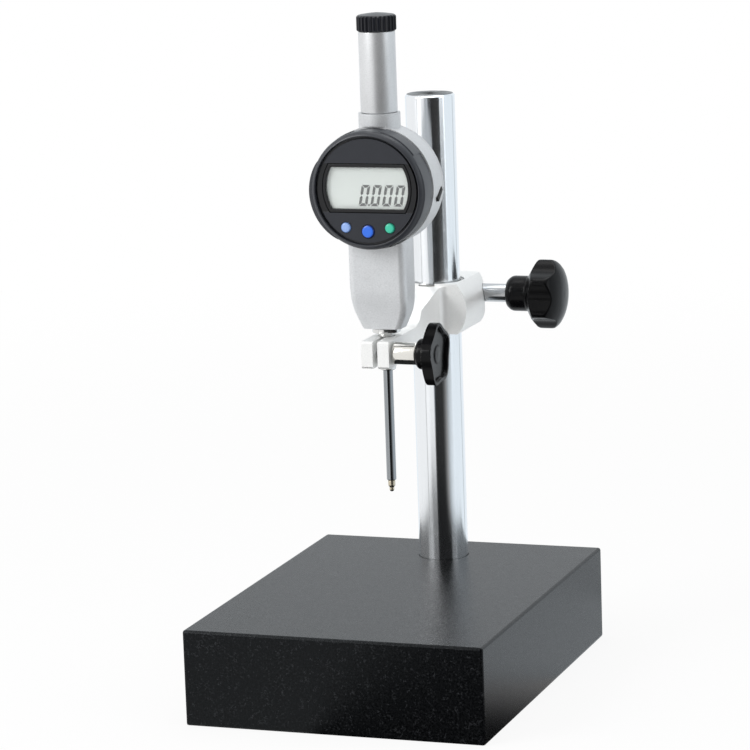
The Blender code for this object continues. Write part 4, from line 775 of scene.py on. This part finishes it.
def addCap():
    low, high = span("tube_cap", "Z")
    seat = span("top_tube", "Z")[1] + 0.3 - low
    top = high - low
    radius, chamfer = cap["radius"], cap["chamfer"]
    profile = [
        (0, seat + cap["boreDepth"], 0, 0),
        (cap["bore"], seat + cap["boreDepth"], 0, 0),
        (cap["bore"], 0, 0.2, 0),
        (cap["plug"], 0, 0.2, 0),
        (cap["plug"], seat, 0.1, 0),
        (radius - cap["lip"], seat, 0.2, 0),
        (radius, seat + 0.5, 0.3, 0),
        (radius, top - cap["peak"] - chamfer, 0.4, 0),
        (radius - chamfer, top - cap["peak"], 0.5, 0),
        (radius * 0.5, top - cap["peak"] * 0.45, 1, 0),
        (0, top, 0, 0),
    ]
    body, insets = knobBody("tubeCapFine", profile, cap["lobes"] * cap["lobeSteps"], 1.2)
    lobed(body, insets, finishes["cap"], radius, cap, 0.08)
    placed(body, "Z", (0, axes["gauge"][1], low))
    dress(body, "gauge", "black_plastic", "tube_cap")


# the four screws at the back as one piece, each with a cross recess
coverScrew = {
    "count": 4, "circle": 25, "first": 45, "shank": 1, "head": 1.9, "rim": 0.45, "crown": 1.2,
    "recess": 1.05, "recessHalf": 0.2, "recessDepth": 0.55,
}


def addCoverScrews():
    low, high = span("cover_screw_1", "Y")
    seat = span("back_cover", "Y")[1] + 0.3
    k = coverScrew
    shank, head = k["shank"], k["head"]
    profile = [
        (0, low), (shank, low, 0.2), (shank, seat, 0.05), (head, seat, 0.1), (head, seat + k["rim"], 0.4),
        (k["crown"], high, 0.2), (0, high),
    ]
    screw = spun("coverScrewsFine", "Z", (0, 0, 0), profile, 32)
    depths, lengths, widths = (
        (high - k["recessDepth"], high + 1), (-k["recess"], k["recess"]), (-k["recessHalf"], k["recessHalf"])
    )
    for turn in (0, 90):
        cutter = addBox("recessCut", [(x, y, z) for z in depths for x in lengths for y in widths])
        cutter.data.transform(Matrix.Rotation(math.radians(turn), 4, "Z"))
        closeUp(cutter, finishes["steel"])
        closeUp(screw, finishes["steel"])
        carve(screw, cutter)
    ringed(screw, finishes["steel"], k["count"], k["circle"], math.radians(k["first"]))
    placed(screw, "Y", axes["head"])
    dress(screw, "gauge", "steel", "cover_screw_1", "cover_screw_2", "cover_screw_3", "cover_screw_4")


# Spindle and contact point
spindle = {"radius": 2.35, "threadHole": 1.3, "holeDepth": 5}
point = {
    "shank": 1, "collar": 1.75, "collarLength": 2.6, "waist": 1.1,
    "ball": [(1.2, 1.2), (1.11, 0.75), (0.85, 0.35), (0.46, 0.09), (0, 0)],  # radius, height over the tip
}


def addSpindle():
    low, high = span("spindle", "Z")
    radius, hole, floor = spindle["radius"], spindle["threadHole"], low + spindle["holeDepth"]
    profile = [(hole, low, 0.1), (radius, low, 0.35), (radius, high, 0.5), (0, high), (0, floor), (hole, floor)]
    piece = spun("spindleFine", "Z", axes["gauge"], profile, 64, closed=True)
    dress(closeUp(piece, finishes["spindle"]), "spindle", "steel", "spindle")
    tip, top = span("contact_point", "Z")
    seat = low - 0.3
    shank, collar, waist, end = point["shank"], point["collar"], point["waist"], point["collarLength"]
    profile = [
        (0, top), (shank, top, 0.15), (shank, seat, 0.05), (collar, seat, 0.25), (collar, seat - end, 0.3),
        (waist, seat - end - 0.8, 0.3), (waist + 0.05, seat - end - 1.3, 0.5),
    ]
    profile += [(radius, tip + height) for radius, height in point["ball"]]
    piece = spun("contactPointFine", "Z", axes["gauge"], profile, 60)
    dress(closeUp(piece, finishes["point"]), "spindle", "brass", "contact_point")


# Display unit
face = {
    "radius": 28.6, "chamfer": 1.7, "rim": 0.7, "cup": 24.7, "bore": 3.4, "pivot": 6, "groove": 5.2,
    "front": -28.5, "panelSeat": -25.6, "floor": -16.2, "back": -14.7, "grooveNear": -12.6, "grooveFar": -11.6,
}
traySlot = {"bearing": 124, "half": 7.9, "inner": 20, "outer": 33, "near": -21.8, "far": -16.2}
# raised grips on the bezel's side: bearing from +X in degrees, depth along Y, and how proud; round ones swell and
# fade. They leave the tray's slot free. The display turns, and behind Y -21.2 the case starts 29.33 from the
# head's axis, so there no grip is more than 0.5 proud, which reaches 29.1
grips = [
    {"start": 35, "end": 78, "near": -25.4, "far": -15, "proud": 0.5, "round": False},
    {"start": 150, "end": 238, "near": -26.9, "far": -21.7, "proud": 1.35, "round": True},
    {"start": 150, "end": 238, "near": -22, "far": -15, "proud": 0.5, "round": True},
    {"start": -58, "end": 30, "near": -26.9, "far": -15, "proud": 0.5, "round": True},
]
gripShape = {
    "steps": 48, "sunk": 0.35, "least": 0.1, "rake": 0.1, "frontSlope": 0.6, "backSlope": 0.5, "soft": 0.4,
    "roundPower": 0.6, "endShare": 24, "endPower": 0.5,
}


def addBezel():
    k = face
    reach = span("bezel", "Y")[1]
    radius, chamfer, front, back = k["radius"], k["chamfer"], k["front"], k["back"]
    seat, floor, cup, bore, pivot = k["panelSeat"], k["floor"], k["cup"], k["bore"], k["pivot"]
    mouth = radius - chamfer - k["rim"]
    profile = [
        (radius, back, 0.3), (radius, front + chamfer, 1.2), (radius - chamfer, front, 1.3),
        (mouth, front, 0.3), (mouth, seat, 0.05), (cup, seat, 0.05), (cup, floor, 0.2),
        (bore, floor, 0.2), (bore, reach, 0.2), (pivot, reach, 0.2), (pivot, k["grooveFar"], 0.05),
        (k["groove"], k["grooveFar"], 0.05), (k["groove"], k["grooveNear"], 0.05),
        (pivot, k["grooveNear"], 0.05), (pivot, back, 0.1),
    ]
    bezel = spun("bezelFine", "Y", axes["head"], profile, 144, closed=True)
    closeUp(bezel, finishes["bezel"])
    t = traySlot
    depths, reaches, widths = (t["near"], t["far"]), (t["inner"], t["outer"]), (-t["half"], t["half"])
    slot = addBox("traySlotCut", [(u, y, v) for y in depths for u in reaches for v in widths])
    turn = Matrix.Rotation(-math.radians(t["bearing"]), 4, "Y")
    slot.data.transform(Matrix.Translation([part * mm for part in axes["head"]]) @ turn)
    closeUp(slot, finishes["bezel"])
    carve(bezel, slot)
    dress(closeUp(bezel, finishes["bezel"]), "display", "charcoal_plastic", "bezel")
    dress(refined("battery_tray", finishes["tray"], 0.35), "tray", "black_plastic", "battery_tray")


# how far a grip has risen at a share of its length
def gripSwell(share, isRound):
    k = gripShape
    if isRound:
        return math.sin(math.pi * share) ** k["roundPower"]
    return min(1, share * k["endShare"], (1 - share) * k["endShare"]) ** k["endPower"]


def addGrips():
    k = gripShape
    steps, soft, least = k["steps"], k["soft"], k["least"]
    middle = axes["head"][2]
    low = face["radius"] - k["sunk"]
    for number, grip in enumerate(grips):
        start, end = math.radians(grip["start"]), math.radians(grip["end"])
        near, far = grip["near"], grip["far"]
        points, faces = [], []
        for i in range(steps + 1):
            share = i / steps
            angle = start + (end - start) * share
            high = low + least + (grip["proud"] + k["sunk"] - least) * gripSwell(share, grip["round"])
            section = softened([
                (low, near), (high - k["rake"], near, soft), (high, near + k["frontSlope"], soft),
                (high, far - k["backSlope"], soft), (low, far),
            ])
            points += [(reach * math.cos(angle), y, middle + reach * math.sin(angle)) for reach, y in section]
        count = len(section)
        for i in range(steps):
            for j in range(count):
                after = (j + 1) % count
                faces.append((i * count + j, i * count + after, (i + 1) * count + after, (i + 1) * count + j))
        faces += [tuple(range(count)), tuple(steps * count + j for j in range(count))]
        pad = closeUp(addMesh("bezelGrip" + str(number + 1), points, faces), finishes["bezel"])
        dress(pad, "display", "charcoal_plastic")


def addFace():
    dress(refined("face_panel", finishes["panel"], 0.18), "display", "charcoal_plastic", "face_panel")
    dress(refined("window_frame", finishes["window"], 0.25), "display", "window_black", "window_frame")
    dress(refined("window_lens", finishes["lens"], 0.12, 1), "display", "glass", "window_lens")
    dress(refined("lcd_module", finishes["screen"], 0.1, 1), "display", "screen", "lcd_module")


# zeros on the display, each of six mitred bars, and a point
digits = {
    "left": -5.1, "bottom": 241, "height": 10.2, "width": 4.35, "pitch": 5.9, "count": 4, "slant": 0.2,
    "bar": 1.35, "gap": 0.11, "cut": 0.3, "waist": 0.6, "front": -25.68, "back": -25.62,
    "pointAfter": 0.42, "pointWidth": 0.85, "pointLow": 0.05, "pointHigh": 0.95,
}


# slanted plates on the display from outlines in its plane
def inkShape(name, outlines):
    d = digits
    points, faces = [], []
    for outline in outlines:
        first, count = len(points), len(outline)
        for y in (d["front"], d["back"]):
            points += [(x + z * d["slant"], y, d["bottom"] + z) for x, z in outline]
        faces.append(tuple(range(first, first + count)))
        faces.append(tuple(range(first + 2 * count - 1, first + count - 1, -1)))
        for i in range(count):
            j = (i + 1) % count
            faces.append((first + i, first + count + i, first + count + j, first + j))
    return addMesh(name, points, faces)


def addDigits():
    d = digits
    width, height, thick, gap, cut = d["width"], d["height"], d["bar"], d["gap"], d["cut"]
    flat = [(cut, 0), (width - cut, 0), (width - thick - gap, thick), (thick + gap, thick)]
    waist = height / 2 - thick * d["waist"]
    side = [
        (0, cut + gap), (thick, thick + gap), (thick, waist), (thick * 0.5, height / 2 - gap), (0, waist),
    ]
    outlines = [flat, side, [(width - x, z) for x, z in reversed(side)]]
    outlines += [[(x, height - z) for x, z in reversed(outline)] for outline in outlines]
    zero = inkShape("displayDigits", outlines)
    rowed(zero, finishes["ink"], d["count"], d["pitch"], d["left"])
    dress(zero, "display", "window_black")
    left = d["left"] + width + d["pointAfter"]
    right, low, high = left + d["pointWidth"], d["pointLow"], d["pointHigh"]
    dot = inkShape("displayPoint", [[(left, low), (right, low), (right, high), (left, high)]])
    dress(closeUp(dot, finishes["ink"]), "display", "window_black")


# node, body, slot, finish, radius and crown of each key, and what the three share
keys = [
    ("left_button", "left_key", "pale_blue_key", "leftKey", 2.45, 0.25),
    ("centre_button", "centre_key", "blue_key", "centreKey", 3.15, 0.3),
    ("right_button", "right_key", "green_key", "rightKey", 2.45, 0.25),
]
keyShape = {"flange": 0.55, "flangeDepth": 0.8, "shoulder": 0.45, "topShare": 0.72}


def addButtons():
    for node, body, slot, finish, radius, crown in keys:
        low, high = span(node, "Y")
        x = sum(span(node, "X")) / 2
        z = sum(span(node, "Z")) / 2
        wide, seat = radius + keyShape["flange"], high - keyShape["flangeDepth"]
        profile = [
            (0, high), (wide, high, 0.1), (wide, seat, 0.1), (radius, seat, 0.1),
            (radius, low + keyShape["shoulder"], 0.4),
            (radius * keyShape["topShare"], low + crown * 0.2, 0.8), (0, low),
        ]
        key = spun(node + "Fine", "Y", (x, 0, z), profile, 56)
        dress(closeUp(key, finishes[finish]), body, slot, node)


# CAD nodes that keep their shape and get a finish
keptNodes = {
    "granite_base": "granite",
    "column_washer": "steel",
    "column_bolt": "steel",
    "guide_sleeve": "sleeve",
    "upper_bush": "bush",
    "guide_rod": "steel",
    "scale_plate": "scale",
    "main_board": "board",
    "spindle_carrier": "carrier",
    "pickup_plate": "board",
    "return_spring": "steel",
    "display_board": "board",
    "face_clip": "steel",
    "battery": "steel",
}


def keepNodes():
    for node, finish in keptNodes.items():
        for slot in nodes[node].material_slots:
            slot.link = "OBJECT"
            slot.material = finishes[finish]


# Studio: bearings in degrees from +X, and distances over the floor from the column in metres
studio = {
    "sky": 0.55, "skyCardFade": (0.45, 0.9),
    "darkFrom": (-96, -92), "dark": 0.97, "darkToNear": (-58, -8), "darkToFar": (-13, -6),
    "strips": [(-138, -134, 1, 0.45), (50, 56, 2, 0.35)], "blueSides": [(-34, 75, 6, 0.8), (75, 150, 6, 0.55)],
    "blue": (0.86, 0.94, 1),
    "floorHalf": 4, "floorGrey": 0.82, "paper": 0.9, "paperFade": (0.3, 1.2),
    "farCards": (0.75, 1.05), "floorCards": (0.05, 0.17),
}
# name, place, target, size, power and colour
lamps = [
    ("keyLight", (-1.0, -1.1, 1.1), (0, 0, 0.16), (0.8, 1.0), 17, (1, 1, 1)),
    ("fillLight", (1.5, -0.4, 0.7), (0, 0, 0.16), (0.7, 1.0), 3.6, (0.94, 0.97, 1)),
    ("topLight", (0.1, 0.3, 1.6), (0, 0, 0.1), (1.0, 1.0), 7, (1, 1, 1)),
]


# what mirrors see around the object: one wide dark card, two narrow ones and pale blue sides, by the bearing. far
# goes from 0 near the object to 1 far from it, and moves the wide card's far edge
def cards(sky, place, far):
    bearing = sky.axis("Y", place).calc("ARCTAN2", sky.axis("X", place)) * (180 / math.pi)

    # low, high, how soft its edges are, and how strong
    def band(low, high, edge, share):
        return bearing.rise(low - edge, low + edge) * (1 - bearing.rise(high - edge, high + edge)) * share

    end = bearing.rise(*studio["darkToNear"]) * (1 - far) + bearing.rise(*studio["darkToFar"]) * far
    shade = bearing.rise(*studio["darkFrom"]) * (1 - end) * studio["dark"]
    for strip in studio["strips"]:
        shade = shade + band(*strip)
    first, second = (band(*side) for side in studio["blueSides"])
    return shade, sky.mix((1, 1, 1), studio["blue"], first + second)


def addWorld():
    world = bpy.data.worlds.new("studio")
    bpy.context.scene.world = world
    world.use_nodes = True
    sky = Nodes(world.node_tree)
    world.node_tree.nodes.clear()
    way = sky.add("ShaderNodeTexCoord", output="Generated")
    shade, tone = cards(sky, way, 1)
    seen = 1 - shade * (1 - abs(sky.axis("Z", way)).rise(*studio["skyCardFade"]))
    shiny = sky.add("ShaderNodeLightPath", output="Is Glossy Ray")
    straight = sky.add("ShaderNodeLightPath", output="Is Camera Ray")
    through = sky.add("ShaderNodeLightPath", output="Is Transmission Ray")
    lit = sky.add("ShaderNodeBackground", Color=(1, 1, 1), Strength=studio["sky"])
    plain = sky.add("ShaderNodeBackground", Color=(1, 1, 1), Strength=1.0)
    mirrored = sky.add("ShaderNodeBackground", Color=tone, Strength=seen)
    first = sky.add("ShaderNodeMixShader", s0=shiny, s1=lit, s2=mirrored)
    direct = straight.calc("MAXIMUM", through)
    second = sky.add("ShaderNodeMixShader", s0=direct, s1=first, s2=plain)
    sky.add("ShaderNodeOutputWorld", Surface=second)


def addFloor():
    half = studio["floorHalf"] / mm
    corners = [(-half, -half, 0), (half, -half, 0), (half, half, 0), (-half, half, 0)]
    floor = addMesh("floor", corners, [(0, 1, 2, 3)])
    material = bpy.data.materials.new("paper")
    material.use_nodes = True
    paper = Nodes(material.node_tree)
    material.node_tree.nodes.clear()
    seen = paper.add("ShaderNodeLightPath", output="Is Camera Ray")
    shiny = paper.add("ShaderNodeLightPath", output="Is Glossy Ray")
    matt = paper.add("ShaderNodeBsdfDiffuse", Color=[studio["floorGrey"]] * 3)
    white = paper.add("ShaderNodeEmission", Color=(1, 1, 1), Strength=1.0)
    place = paper.add("ShaderNodeTexCoord", output="Object")
    away = paper.vector("SUBTRACT", place, [part * mm for part in axes["column"]])
    reach = paper.length(away)
    shade, tone = cards(paper, away, reach.rise(*studio["farCards"]))
    near = reach.rise(*studio["floorCards"])
    mirrored = paper.add("ShaderNodeEmission", Color=tone, Strength=1 - shade * near)
    share = studio["paper"] + (1 - studio["paper"]) * reach.rise(*studio["paperFade"])
    plain = paper.add("ShaderNodeMixShader", s0=seen * share, s1=matt, s2=white)
    blend = paper.add("ShaderNodeMixShader", s0=shiny, s1=plain, s2=mirrored)
    paper.add("ShaderNodeOutputMaterial", Surface=blend)
    floor.data.materials.append(material)


def addLamp(name, place, target, size, power, colour):
    light = bpy.data.lights.new(name, "AREA")
    light.shape = "RECTANGLE"
    light.size, light.size_y = size
    light.energy, light.color = power, colour
    lamp = bpy.data.objects.new(name, light)
    bpy.context.scene.collection.objects.link(lamp)
    way = Vector(target) - Vector(place)
    lamp.matrix_world = Matrix.Translation(place) @ way.to_track_quat("-Z", "Y").to_matrix().to_4x4()


def addStudio():
    addWorld()
    addFloor()
    for lamp in lamps:
        addLamp(*lamp)
    bpy.context.scene.view_settings.view_transform = "Standard"


addCamera()
addColumn()
addArm()
addLock()
addClamp()
print("stand dressed")
addHousing()
addSpindle()
print("gauge dressed")
addBezel()
addGrips()
addFace()
addDigits()
addButtons()
print("display dressed")
keepNodes()
addStudio()
print("studio set")
